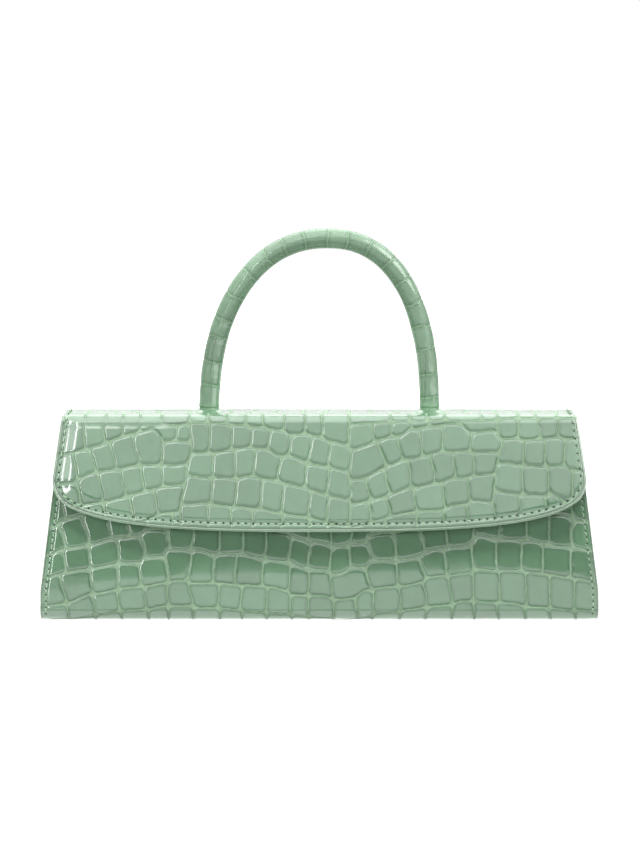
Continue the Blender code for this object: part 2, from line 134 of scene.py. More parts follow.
FOLD_HEIGHT = BODY_HEIGHT - FOLD_RADIUS
FRONT_FOLD = np.array([FOLD_RADIUS - TOP_DEPTH / 2, FOLD_HEIGHT])
BACK_FOLD = np.array([TOP_DEPTH / 2 - FOLD_RADIUS, FOLD_HEIGHT])
FRONT_CORNER = np.array([BASE_RADIUS - BASE_DEPTH / 2, BASE_RADIUS])
BACK_CORNER = np.array([BASE_DEPTH / 2 - BASE_RADIUS, BASE_RADIUS])
FRONT_TOP = np.array([LIP_STACK + LIP_CLEARANCE - TOP_DEPTH / 2, BODY_HEIGHT - ROOF_STACK - 2 * GAP])
FRONT_TURN = tangent_turn(FRONT_CORNER, BASE_RADIUS, FRONT_TOP, 0.0, -1)
BACK_TURN = tangent_turn(BACK_CORNER, BASE_RADIUS, BACK_FOLD, FOLD_RADIUS, 1) % 360
FRONT_LOW = FRONT_CORNER + BASE_RADIUS * direction(FRONT_TURN)
BACK_LOW = BACK_CORNER + BASE_RADIUS * direction(BACK_TURN)
BACK_HIGH = BACK_FOLD + FOLD_RADIUS * direction(BACK_TURN)
FRONT_FLOOR = FRONT_CORNER + BASE_RADIUS * direction(270)
BACK_FLOOR = BACK_CORNER + BASE_RADIUS * direction(270)
FRONT_ROOF = FRONT_FOLD + np.array([0, FOLD_RADIUS])
BACK_ROOF = BACK_FOLD + FOLD_RADIUS * direction(90)


def at_height(low, high, z):
    return low + (high - low) * (z - low[1]) / (high[1] - low[1])


SNAP_SEAT = at_height(FRONT_LOW, FRONT_TOP, BODY_HEIGHT - LIP_DROP + SNAP_RISE)
SNAP_FRONT = SNAP_SEAT + direction(FRONT_TURN) * (SNAP_STACK + LIP_STACK)
LIP_TURN = tangent_turn(SNAP_FRONT, 0.0, FRONT_FOLD, FOLD_RADIUS, -1) % 360
LIP_TOP = FRONT_FOLD + FOLD_RADIUS * direction(LIP_TURN)
LIP_WIDEST = BODY_HEIGHT - LIP_SHOULDER
LIP_OUT = np.array([0.0, *direction(LIP_TURN)])


def half_width(z):
    """Half the bag's width at a height."""
    share = np.clip((z - SKIRT_HEIGHT) / (BODY_HEIGHT - SKIRT_HEIGHT), 0, 1)
    return (BASE_WIDTH + (TOP_WIDTH - BASE_WIDTH) * share) / 2


def lip_half_width(z):
    share = np.clip((BODY_HEIGHT - z) / LIP_SHOULDER, 0, 1)
    return (TOP_WIDTH + (LIP_WIDTH - TOP_WIDTH) * share) / 2


def straight(a, b, step):
    """Points from a to b about a step apart, and the direction that faces out on their right."""
    count = max(1, round(math.dist(a, b) / step))
    points = a + (b - a) * np.linspace(0, 1, count + 1)[:, None]
    run = (b - a) / math.dist(a, b)
    return points, np.tile([run[1], -run[0]], (count + 1, 1))


def bend(centre, radius, start, end, step):
    """Points round a circle, and their outward directions."""
    count = max(1, round(abs(math.radians(end - start)) * radius / step))
    turns = np.radians(np.linspace(start, end, count + 1))
    out = np.stack([np.cos(turns), np.sin(turns)], 1)
    return centre + radius * out, out


def profile(*runs):
    """Joins runs that end where the next begins into points, outward directions and lengths."""
    points = np.concatenate([runs[0][0]] + [run[0][1:] for run in runs[1:]])
    out = np.concatenate([runs[0][1]] + [run[1][1:] for run in runs[1:]])
    steps = np.hypot(*np.diff(points, axis=0).T)
    return points, out, np.concatenate([[0], np.cumsum(steps)])


# Lines, and grids of places

def lengths(line):
    """How far along a line each of its points is."""
    return np.concatenate([[0], np.cumsum(np.linalg.norm(np.diff(line, axis=0), axis=1))])


def read_line(places, run, line):
    """Values along a line, read at places."""
    return np.stack([np.interp(places, run, values) for values in line.T], -1)


def even(points, count):
    """Points at even steps along a line."""
    run = lengths(points)
    return read_line(np.linspace(0, run[-1], count), run, points)


def nearest(points, line):
    """Distance from each point to a line, and how far along the line that is."""
    flat = points.reshape(-1, 2)
    run = lengths(line)
    start, way = line[:-1], np.diff(line, axis=0)
    square = np.sum(way * way, 1)
    best, place = np.full(len(flat), 1e9), np.zeros(len(flat))
    for k in range(len(start)):
        t = np.clip(((flat - start[k]) @ way[k]) / square[k], 0, 1)
        far = np.hypot(*(flat - start[k] - t[:, None] * way[k]).T)
        nearer = far < best
        best[nearer] = far[nearer]
        place[nearer] = (run[k] + t * (run[k + 1] - run[k]))[nearer]
    return best.reshape(points.shape[:-1]), place.reshape(points.shape[:-1])


def shares(rows, columns):
    """How far across and down each column and row of a grid is."""
    return np.linspace(0, 1, columns)[None, :, None], np.linspace(0, 1, rows)[:, None, None]


def patch(corners, rows, columns):
    """A grid of places between four corners: top left, low left, low right and top right."""
    a, b, c, d = corners
    u, v = shares(rows, columns)
    return (1 - v) * ((1 - u) * a + u * d) + v * ((1 - u) * b + u * c)


# Lip outline

LIP_SIDE_STEPS = 60
LIP_CURVE_STEPS = 900
# Steps round the curve at which the lip's sides count as ended and its bottom begins
LIP_CORNER_STEPS = 225


def superellipse(half, drop, low, turns):
    p = 2 / LIP_SQUARENESS
    c, s = np.cos(turns), np.sin(turns)
    return np.stack([half * np.sign(c) * np.abs(c) ** p, low - drop * np.abs(s) ** p], -1)


def lip_edge(inset=0.0, side=None):
    """The lip's outline as (x, z) from the top of its left side round to the top of its right."""
    turns = np.radians(np.linspace(180, 360, LIP_CURVE_STEPS))
    side = inset if side is None else side
    low = superellipse(LIP_WIDTH / 2 - side, LIP_DROP - LIP_SHOULDER - inset, LIP_WIDEST, turns)
    top = LIP_TOP[1]
    left, right = (-lip_half_width(top) + side, top), (lip_half_width(top) - side, top)
    down = even(np.array([left, low[0]]), LIP_SIDE_STEPS)[:-1]
    up = even(np.array([low[-1], right]), LIP_SIDE_STEPS)[1:]
    return np.concatenate([down, low, up])


def on_lip(x, z, proud=0.0):
    y = LIP_TOP[0] + (LIP_TOP[1] - z) * math.tan(math.radians(LIP_TURN))
    return np.stack([x, y, z], -1) + proud * LIP_OUT


def lip_grid(rows, columns, inset=0.0):
    """(x, z) places all over the lip, in rows from its fold to its edge."""
    outline = lip_edge(inset)
    corner = LIP_SIDE_STEPS - 1 + LIP_CORNER_STEPS
    left, right = even(outline[:corner], rows), even(outline[::-1][:corner], rows)
    bottom = even(outline[corner - 1:-corner + 1], columns)
    top = even(np.array([outline[0], outline[-1]]), columns)
    u, v = shares(rows, columns)
    grid = (1 - v) * top + v * bottom + (1 - u) * left[:, None] + u * right[:, None]
    return grid - patch((top[0], bottom[0], bottom[-1], top[-1]), rows, columns)


# Scale layouts. Each field is a list of growth bands from left to right. A band has its right
# edge as (height, x), its row lines from the top as (x, height), and the x of each row's dividers.

FLAP_BANDS = [
    {
        "edge": ((52.5, -67), (62.5, -65.5), (67.5, -64), (74.5, -63.5), (81.5, -62), (94, -63)),
        "lines": [
            ((-124, 94), (-62.5, 94)),
            ((-124, 79.5), (-112, 82.5), (-98.5, 87), (-85.5, 91), (-81, 92), (-78, 89.5), (-75, 86),
             (-62.5, 86)),
            ((-118, 66), (-110.5, 70), (-98.5, 72.5), (-87, 74.5), (-64.5, 75)),
            ((-115.5, 56), (-103.5, 57), (-94, 59.5), (-84.5, 62), (-73.5, 64.5), (-65.5, 65.5)),
            ((-106, 44.5), (-86.5, 47.5), (-74.5, 52), (-67, 52.5)),
        ],
        "dividers": [
            (-113, -103.5, -95, -87, -76),
            (-113, -103.5, -95, -87, -69),
            (-118, -109.5, -100, -89, -76.5),
            (-116, -105.5, -95, -85.5, -76),
            (-103.5, -90.5, -79),
            (-92.5, -82, -71),
        ],
    },
    {
        "edge": ((46, 14.5), (58, 15), (70, 14.5), (79.5, 15), (83.5, 14), (94, 14.5)),
        "lines": [
            ((-63.5, 95), (-43.5, 94), (-26.5, 92.5), (-17, 91), (-14, 89.5), (-5.5, 89), (5.5, 86),
             (14.5, 84)),
            ((-62.5, 80.5), (-50, 81), (-34, 83), (-24.5, 82), (-20, 79.5), (-14, 79), (-5, 75.5),
             (4.5, 73.5), (14.5, 71)),
            ((-62.5, 69.5), (-40, 68.5), (-33.5, 69), (-19, 66.5), (-6, 63.5), (3.5, 60.5), (15, 58)),
            ((-65.5, 56.5), (-53, 56), (-41, 55), (-28.5, 53.5), (-18.5, 52), (-4.5, 49.5), (15, 45)),
        ],
        "dividers": [
            (-53.5, -44.5, -35.5, -27, -17, -7, 1.5),
            (-53.5, -42.5, -33.5, -24.5, -14.5, -4.5, 5),
            (-51.5, -41, -31.5, -19.5, -6.5, 4),
            (-52.5, -40.5, -28.5, -18, -5, 4),
            (-54, -42.5, -32.5, -19, -5.5, 3.5),
        ],
    },
    {
        "edge": ((51, 84.5), (58, 84), (65, 84.5), (72, 85), (80, 87), (85, 88), (87.5, 87), (94, 86)),
        "lines": [
            ((13.5, 93.5), (24.5, 94.5), (31.5, 95.5), (62.5, 96), (88, 96)),
            ((14.5, 82), (22, 84), (34.5, 88), (39.5, 89), (43.5, 91.5), (56, 93.5), (64.5, 94.5),
             (69, 94), (73.5, 90.5),
             (83.5, 91), (87, 88)),
            ((15, 67.5), (22, 69), (29.5, 72.5), (39, 76.5), (49, 78.5), (60.5, 81), (72, 81), (86.5, 80.5)),
            ((15.5, 56), (24, 58), (33, 60.5), (43.5, 63.5), (56.5, 66), (65.5, 68), (75.5, 69.5),
             (84.5, 71)),
            ((15, 44.5), (34, 50), (46.5, 52.5), (60.5, 53.5), (64.5, 55.5), (70.5, 56), (73, 57.5),
             (82.5, 57)),
        ],
        "dividers": [
            (34, 43.5, 52, 60.5, 78),
            (26, 35, 44.5, 53, 67.5),
            (30.5, 39, 49, 59.5, 73),
            (24, 32.5, 43.5, 54.5, 64.5, 74),
            (24.5, 33.5, 46, 60, 72),
            (33, 47, 60, 71.5),
        ],
    },
    {
        "edge": None,
        "lines": [
            ((86, 96.5), (96.5, 97.3), (105.5, 97.0), (136, 97.4)),
            ((87.5, 87), (94.5, 87.5), (99, 86.5), (107, 87), (115, 88), (123.5, 87), (131, 86.5)),
            ((87, 75.5), (97.5, 74.5), (109.5, 74), (117.5, 74.5), (121.5, 72.5), (127, 71), (131, 70)),
            ((85.5, 62.5), (95.5, 61), (108.5, 60.5), (111.5, 61), (118, 58), (126.5, 54)),
        ],
        "dividers": [(96, 105, 115), (95.5, 106, 115), (98.5, 108.5, 118), (98, 110.5, 122),
                     (96, 108.5, 116.5)],
    },
]
PANEL_BANDS = [
    {
        "edge": ((-2.5, -60.5), (6.5, -60.5), (19.5, -63), (34, -61.5), (48, -60.5)),
        "lines": [
            ((-128.5, 44.5), (-124, 47), (-118.5, 49), (-106, 53), (-86.5, 56), (-62.5, 57.5)),
            ((-130, 31), (-122.5, 34.5), (-111, 36), (-100, 39), (-87, 41), (-82.5, 43.5), (-73.5, 44),
             (-61.5, 45.5)),
            ((-130.5, 20.5), (-117, 24), (-105, 25.5), (-97.5, 27), (-86.5, 28), (-84.5, 30),
             (-75, 30.5), (-72.5, 33.5),
             (-61.5, 33.5)),
            ((-131.5, 7.5), (-121, 9), (-114.5, 11.5), (-102.5, 14), (-94, 16), (-85, 16.5),
             (-72.5, 18.5), (-62.5, 19.5)),
            ((-125.5, -0.5), (-105.5, 3), (-96, 4.5), (-83.5, 5.5), (-72.5, 7), (-60.5, 7)),
        ],
        "dividers": [
            (-124.5, -113.5, -103, -93.5, -82.5, -72),
            (-124, -113, -101.5, -92.5, -82, -72),
            (-122.5, -111, -97, -85.5, -73),
            (-123.5, -110, -97, -86.5, -73.5),
            (-121, -108.5, -96.5, -84, -73),
            (-118.5, -107, -95, -82, -72.5),
        ],
    },
    {
        "edge": ((-2.5, 7), (10.5, 7), (23, 5), (36, 6), (48, 5.5)),
        "lines": [
            ((-62.5, 45.5), (-33.5, 45), (-18, 42), (-13, 40.5), (-5.5, 38), (3, 36.5), (6.5, 34.5)),
            ((-62.5, 33.5), (-57.5, 33.5), (-50.5, 32), (-40.5, 32), (-27.5, 29.5), (-14.5, 27.5),
             (-5.5, 25), (4, 24), (6.5, 22)),
            ((-63.5, 19.5), (-61, 18), (-47.5, 18), (-37.5, 17), (-27.5, 16.5), (-15, 14),
             (-12.5, 12.5), (3.5, 12), (7, 10)),
            ((-61, 6.5), (-48, 6), (-37.5, 4.5), (-25, 3.5), (-14, 2.5), (7, 0.5)),
        ],
        "dividers": [
            (-50, -38, -26.5, -15.5, -5),
            (-48.5, -37, -26, -14, -5),
            (-51.5, -40.5, -28, -14.5, -5.5),
            (-48, -37.5, -25, -13.5, -5),
            (-48, -37, -25, -13, -5),
        ],
    },
    {
        "edge": ((2.5, 75), (14.5, 74), (24.5, 74), (31, 73.5), (38, 74), (48, 75)),
        "lines": [
            ((6.5, 34.5), (15.5, 36.5), (22.5, 37.5), (24, 40), (32, 42), (41.5, 42.5), (49, 43.5),
             (74, 47)),
            ((6, 22), (10, 22.5), (16, 25), (22.5, 25.5), (24.5, 28), (37.5, 29), (49, 31), (52, 32.5),
             (63, 35), (71.5, 36),
             (74.5, 38)),
            ((7, 10), (17, 11.5), (21.5, 14), (32.5, 16), (37.5, 16.5), (49.5, 18.5), (52.5, 20.5),
             (65, 22), (74, 23)),
            ((7, -2), (21.5, 1), (27, 3), (37.5, 4.5), (51, 6.5), (63.5, 7.5), (68.5, 9), (75, 9.5)),
        ],
        "dividers": [
            (15, 23, 35.5, 48, 61),
            (15, 24.5, 36.5, 50, 61.5),
            (23.5, 37.5, 50, 61),
            (18, 26, 38.5, 50.5, 63),
            (26.5, 39.5, 52, 64.5),
        ],
    },
    {
        "edge": None,
        "lines": [
            ((74.5, 47), (102, 49.5), (113, 50.5), (119, 50), (122.5, 48), (136, 46.5)),
            ((74, 38), (77, 40.5), (85.5, 39.5), (97.5, 38.5), (107.5, 37), (112.5, 36), (120.5, 35),
             (131, 33.5)),
            ((73.5, 24.5), (85.5, 24), (98.5, 23.5), (106.5, 22.5), (112.5, 22), (121.5, 20.5),
             (133.5, 18.5)),
            ((74.5, 9.5), (85.5, 8.5), (95, 8.5), (101, 7), (111, 6.5), (122.5, 5), (135, 4.5)),
        ],
        "dividers": [(87, 99.5, 111.5, 122), (87.5, 100, 111, 122), (85.5, 97.5, 107.5, 121),
                     (87, 100, 111.5, 123), (86, 99, 111, 123.5)],
    },
]
ROW_PITCH = 12.2
SCALE_WIDTH = 11.0
FIELD_REACH = 145


def curve(knots, at):
    """Smooth line through knots of (place, value), read at places."""
    place, value = np.array(knots, float).T
    rise = np.diff(value) / np.diff(place)
    low, high = rise[:-1], rise[1:]
    inner = np.where(low * high > 0, 2 * low * high / np.where(low + high == 0, 1, low + high), 0)
    slope = np.concatenate([rise[:1], inner, rise[-1:]])
    first = np.clip(np.searchsorted(place, at) - 1, 0, len(place) - 2)
    width = place[first + 1] - place[first]
    t = np.clip((at - place[first]) / width, 0, 1)
    a, b = value[first], value[first + 1]
    p, q = slope[first] * width, slope[first + 1] * width
    return a + t * (p + t * (3 * (b - a) - 2 * p - q + t * (p + q - 2 * (b - a))))


def spread(start, end, seed):
    """Dividers at uneven steps between two places."""
    count = max(1, round((end - start) / SCALE_WIDTH))
    step = (end - start) / count
    return tuple(start + step * (n + 0.17 * hashed(n, 7, seed)) for n in range(1, count))


def extended(bands, low, high, seed):
    """A field's bands with further rows above and below, up to two heights."""
    field = []
    start = -FIELD_REACH
    for number, band in enumerate(bands):
        end = band["edge"][0][1] if band["edge"] else FIELD_REACH
        lines, dividers = list(band["lines"]), list(band["dividers"])
        places = np.linspace(start, end, 6)

        def row(height, key):
            return tuple((x, height + 1.1 * noise(x / 21, key, seed + number)) for x in places)

        height = max(z for x, z in lines[0]) + ROW_PITCH
        while height < high + ROW_PITCH:
            lines.insert(0, row(height, height))
            dividers.insert(0, spread(start, end, int(height) + seed + 31 * number))
            height += ROW_PITCH
        height = min(z for x, z in lines[-1]) - ROW_PITCH
        while height > low - ROW_PITCH:
            lines.append(row(height, height))
            dividers.append(spread(start, end, int(height) + seed + 31 * number))
            height -= ROW_PITCH
        field.append({"edge": band["edge"], "lines": lines, "dividers": dividers})
        start = end
    return field


def grown(low, high, edges, seed):
    """A whole field made by rule, with row lines that drift up and down from band to band."""
    field = []
    start = -FIELD_REACH
    for number, end in enumerate((*edges, None)):
        stop = FIELD_REACH if end is None else end
        places = np.linspace(start, stop, 7)
        lines, dividers = [], []
        shift = 5 * hashed(number, 3, seed)
        height = high + ROW_PITCH
        while height > low - ROW_PITCH:
            drift = [
                shift + 5.5 * noise(x / 40, number, seed) + 0.8 * noise(x / 15, height, seed) for x in places
            ]
            lines.append(tuple((x, height + d) for x, d in zip(places, drift)))
            dividers.append(spread(start, stop, seed + 17 * number + int(height)))
            height -= ROW_PITCH
        dividers.append(spread(start, stop, seed + 17 * number))
        heights = np.linspace(low, high, 6)
        edge = end
        if end is not None:
            edge = tuple((z, end + 2.2 * noise(z / 17, number, seed + 5)) for z in heights)
        field.append({"edge": edge, "lines": lines, "dividers": dividers})
        start = stop
    return field


CORNER = 2.5
WOBBLE = 0.45
RIPPLE = 0.15
SWAY = 0.6


def row_lines(lines, x, z):
    """For points in a band: their rows, the heights of each row's two lines, and their slopes."""
    heights = np.array([curve(line, x) for line in lines])
    slopes = np.array([(curve(line, x + 6) - curve(line, x - 6)) / 12 for line in lines])
    heights = np.minimum.accumulate(heights, axis=0)
    row = (z[None] < heights).sum(0)
    last = len(lines) - 1
    top, low = np.clip(row - 1, 0, last), np.clip(row, 0, last)
    every = np.arange(x.size)
    z_top = np.where(row > 0, heights[top, every], heights[0] + ROW_PITCH)
    z_low = np.where(row <= last, heights[low, every], heights[last] - ROW_PITCH)
    return row, z_top, z_low, slopes[top, every], slopes[low, every]


def nearest_divider(dividers, at):
    """Distance to the nearest of a row's dividers, and how many of them are passed."""
    place = np.searchsorted(dividers, at)
    before = np.where(place > 0, at - dividers[np.clip(place - 1, 0, None)], 99)
    after = np.where(place < dividers.size, dividers[np.clip(place, None, dividers.size - 1)] - at, 99)
    return np.minimum(before, after), place


def embossing(x, z, field, seed):
    """For points in mm: distance from the middle of the nearest groove, and a number for the scale."""
    shape = x.shape
    x, z = x.ravel(), z.ravel()
    x = x + WOBBLE * noise(x / 7, z / 7, seed) + RIPPLE * noise(x / 2, z / 2, seed + 1)
    z = z + WOBBLE * noise(x / 7, z / 7, seed + 2) + RIPPLE * noise(x / 2, z / 2, seed + 3)
    distance = np.zeros(x.size)
    number = np.zeros(x.size, np.int64)
    left = np.full(x.size, -1e4)
    for index, band in enumerate(field):
        right = np.full(x.size, 1e4) if band["edge"] is None else curve(band["edge"], z)
        here = np.flatnonzero((x >= left) & (x < right))
        px, pz = x[here], z[here]
        rows, z_top, z_low, tilt_top, tilt_low = row_lines(band["lines"], px, pz)
        rise = np.minimum((z_top - pz) / np.hypot(1, tilt_top), (pz - z_low) / np.hypot(1, tilt_low))
        # Dividers lean with their row
        tilt = np.clip((tilt_top + tilt_low) / 2, -0.5, 0.5)
        flat = px + np.where(tilt > 0, 0.8, 0.35) * tilt * (pz - (z_top + z_low) / 2)
        side = np.minimum(px - left[here], right[here] - px)
        cell = np.zeros(px.size, np.int64)
        dividers = band["dividers"]
        for row in range(len(band["lines"]) + 1):
            inside = rows == row
            at = flat[inside] + SWAY * noise(pz[inside] / 6, row + 9 * index, seed + 4)
            across, place = nearest_divider(np.array(dividers[min(row, len(dividers) - 1)], float), at)
            side[inside] = np.minimum(side[inside], across)
            cell[inside] = place + 40 * row
        a, b = np.clip(CORNER - side, 0, None), np.clip(CORNER - rise, 0, None)
        round_part = np.clip(CORNER - np.hypot(a, b), 0, None)
        distance[here] = round_part + np.clip(np.minimum(side, rise) - CORNER, 0, None)
        number[here] = cell + 4000 * index
        left = right
    return distance.reshape(shape), number.reshape(shape)


# Meshes

def piece(name, points, faces, look, facts, sharp=38):
    """A mesh object whose points carry facts that its material reads."""
    mesh = bpy.data.meshes.new(name)
    mesh.from_pydata(np.asarray(points, float).reshape(-1, 3).tolist(), [], faces)
    for key, values in facts.items():
        layer = mesh.attributes.new(key, "FLOAT_VECTOR", "POINT")
        layer.data.foreach_set("vector", np.asarray(values, np.float32).ravel())
    mesh.materials.append(look)
    mesh.shade_smooth()
    mesh.set_sharp_from_angle(angle=math.radians(sharp))
    return placed(name, mesh)


def placed(name, data):
    made = bpy.data.objects.new(name, data)
    bpy.context.scene.collection.objects.link(made)
    return made


def unit(vectors):
    return vectors / np.maximum(np.linalg.norm(vectors, axis=-1, keepdims=True), 1e-12)


def rowwise(values, like):
    return np.broadcast_to(values[:, None], like.shape)


def lofted(points, out, x):
    """Base points and outward directions of a profile's rows, with x for each row and column."""
    base = np.stack([x, rowwise(points[:, 0], x), rowwise(points[:, 1], x)], -1)
    return base, np.stack([np.zeros_like(x), rowwise(out[:, 0], x), rowwise(out[:, 1], x)], -1)


def picks(count, step):
    """Every so many of a count of places, with both ends."""
    return sorted(set(range(0, count - step // 2, step)) | {count - 1})


def strips(rings):
    """Quads between rings of point numbers, one ring after another."""
    joined = [np.stack([a, np.roll(a, -1), np.roll(b, -1), b], -1) for a, b in zip(rings, rings[1:])]
    return np.concatenate(joined)


def grid_quads(grid, turned=False):
    """Quads of a grid of point numbers. Turned ones face the other way."""
    a, b, c, d = grid[:-1, :-1], grid[:-1, 1:], grid[1:, 1:], grid[1:, :-1]
    ring = (a, d, c, b) if turned else (a, b, c, d)
    return np.stack(ring, -1).reshape(-1, 4)


def shell(name, base, out, thickness, look, height, facts, coarse=(8, 16), roll=0.35 * MM):
    """A sheet of a thickness with a fine outer side, a coarse inner side and rounded rims.

    base and out are the outer side's points and outward directions in rows and columns, and
    height is how far its relief stands proud.
    """
    rows, columns = base.shape[:2]
    across = np.zeros_like(base)
    across[0] += unit(base[0] - base[1])
    across[-1] += unit(base[-1] - base[-2])
    across[:, 0] += unit(base[:, 0] - base[:, 1])
    across[:, -1] += unit(base[:, -1] - base[:, -2])
    across = unit(across)
    across[1:-1, 1:-1] = 0
    face = base - across * roll + out * height[..., None]
    loop = [(0, c) for c in range(columns)] + [(r, columns - 1) for r in range(1, rows)]
    loop += [(rows - 1, c) for c in range(columns - 2, -1, -1)] + [(r, 0) for r in range(rows - 2, 0, -1)]
    r, c = np.array(loop).T
    edge, edge_out, edge_across = base[r, c], out[r, c], across[r, c]
    high = edge - edge_out * roll + edge_out * height[r, c, None] * 0.5
    low = edge - edge_out * (thickness - roll)
    under = edge - edge_across * roll - edge_out * thickness
    fine = rows * columns
    around = len(loop)
    row_picks, column_picks = picks(rows, coarse[0]), picks(columns, coarse[1])
    inner = {place: fine + 2 * around + k for k, place in enumerate(loop)}
    deep = [(a, b) for a in row_picks[1:-1] for b in column_picks[1:-1]]
    inner.update({place: fine + 3 * around + k for k, place in enumerate(deep)})
    middle = np.array([base[p] - out[p] * thickness for p in deep]).reshape(-1, 3)
    points = np.concatenate([face.reshape(-1, 3), high, low, under, middle])

    grid = np.arange(fine).reshape(rows, columns)
    rings = [grid[r, c]] + [fine + k * around + np.arange(around) for k in range(3)]
    faces = grid_quads(grid).tolist() + strips(rings)[:, ::-1].tolist()
    for a, b in zip(row_picks, row_picks[1:]):
        for left, right in zip(column_picks, column_picks[1:]):
            first = range(left, right + 1) if a == 0 else (left, right)
            last = range(right, left - 1, -1) if b == rows - 1 else (right, left)
            down = range(a + 1, b) if right == columns - 1 else ()
            up = range(b - 1, a, -1) if left == 0 else ()
            ring = [(a, k) for k in first] + [(k, right) for k in down]
            ring += [(b, k) for k in last] + [(k, left) for k in up]
            faces.append([inner[place] for place in reversed(ring)])
    if np.sum(np.cross(base[0, 1] - base[0, 0], base[1, 0] - base[0, 0]) * out[0, 0]) < 0:
        faces = [ring[::-1] for ring in faces]
    carried = {}
    for key, values in facts.items():
        rim = values[r, c]
        inside = np.array([values[p] for p in deep]).reshape(-1, 3)
        carried[key] = np.concatenate([values.reshape(-1, 3), rim, rim, rim, inside])
    return piece(name, points, faces, look, carried)


# Node materials

class Wire:
    """The output of a node, which can stand in sums."""

    def __init__(self, tree, socket):
        self.tree = tree
        self.socket = socket

    def __add__(self, other):
        return maths(self.tree, "ADD", self, other)

    def __sub__(self, other):
        return maths(self.tree, "SUBTRACT", self, other)

    def __mul__(self, other):
        return maths(self.tree, "MULTIPLY", self, other)

    def __abs__(self):
        return maths(self.tree, "ABSOLUTE", self)

    def step(self, start, end):
        """0 on start's side and 1 on end's, smooth between, in either direction."""
        return node(self.tree, "MapRange", self, start, end, 0.0, 1.0, interpolation_type="SMOOTHSTEP")

    def between(self, start, full, fading, end):
        """1 from full to fading, and 0 outside start and end."""
        return self.step(start, full) * self.step(end, fading)


def feed(tree, socket, value):
    if isinstance(value, Wire):
        tree.links.new(value.socket, socket)
    elif value is not None:
        socket.default_value = value


def node(tree, kind, *values, output=0, **settings):
    """Adds a node fed with values in its sockets' order, and gives one of its outputs."""
    made = tree.nodes.new("ShaderNode" + kind)
    for key, value in settings.items():
        setattr(made, key, value)
    for socket, value in zip(made.inputs, values):
        feed(tree, socket, value)
    return Wire(tree, made.outputs[output]) if made.outputs else None


def maths(tree, operation, *values):
    return node(tree, "Math", *values, operation=operation)


def parts(tree, vector):
    """The three numbers of a vector."""
    split = node(tree, "SeparateXYZ", vector).socket.node
    return [Wire(tree, socket) for socket in split.outputs]


def fact(tree, name):
    """A fact that the mesh's points carry."""
    return node(tree, "Attribute", output="Vector", attribute_name=name)


def blended(tree, share, a, b, kind="MIX"):
    made = tree.nodes.new("ShaderNodeMix")
    made.data_type, made.blend_type = "RGBA", kind
    for place, value in ((0, share), (6, a), (7, b)):
        feed(tree, made.inputs[place], (*value, 1.0) if isinstance(value, tuple) else value)
    return Wire(tree, made.outputs[2])


def shaded(tree, colour, shade):
    """A colour made lighter or darker by a number."""
    return blended(tree, 1.0, colour, node(tree, "CombineColor", shade, shade, shade), "MULTIPLY")


def grain(tree, vector, scale, detail=2.0, rough=0.5):
    return node(tree, "TexNoise", vector, None, scale, detail, rough)


def wave(tree, vector, scale, distortion, detail, direction="DIAGONAL"):
    return node(tree, "TexWave", vector, scale, distortion, detail, output="Fac", bands_direction=direction)


def cells(tree, vector, scale):
    """Distance from the nearest of scattered points."""
    return node(tree, "TexVoronoi", vector, None, scale, output="Distance")


def material(name, settings):
    """A material, its node tree and its shader's sockets."""
    look = bpy.data.materials.new(name)
    look.use_nodes = True
    sockets = look.node_tree.nodes["Principled BSDF"].inputs
    for key, value in settings.items():
        sockets[key].default_value = value
    return look, look.node_tree, sockets


def bumped(tree, sockets, *layers):
    """Adds bump layers of (height, depth in metres)."""
    normal = None
    for height, depth in layers:
        made = tree.nodes.new("ShaderNodeBump")
        for key, value in (("Height", height), ("Distance", depth), ("Strength", 1.0), ("Normal", normal)):
            feed(tree, made.inputs[key], value)
        normal = Wire(tree, made.outputs[0])
    feed(tree, sockets["Normal"], normal)
    return normal


SCALE_COLOUR = (0.150, 0.289, 0.169)
# The grooves' own pale tint, made paler still by painted sheen in place of the gloss taken off them
GROOVE_TINT_AND_SHEEN = (0.375, 0.530, 0.362)
# Painted light: the handle's colour is lighter than the body's same leather, making up for the light and
# gloss it lacks
HANDLE_COLOUR_WITH_PAINTED_LIGHT = (0.222, 0.375, 0.236)
RING_COLOUR = (0.37, 0.56, 0.37)
STITCH_PITCH = 3.63
SIDE_PITCH = 3.1
SIDE_SEAM_START = 1.8
SIDE_SEAM_STRETCH = 1.024
# The crease beside a leather's rim, and a fact's value where what it measures is out of reach
CREASE = 1.25
FAR = 9.0


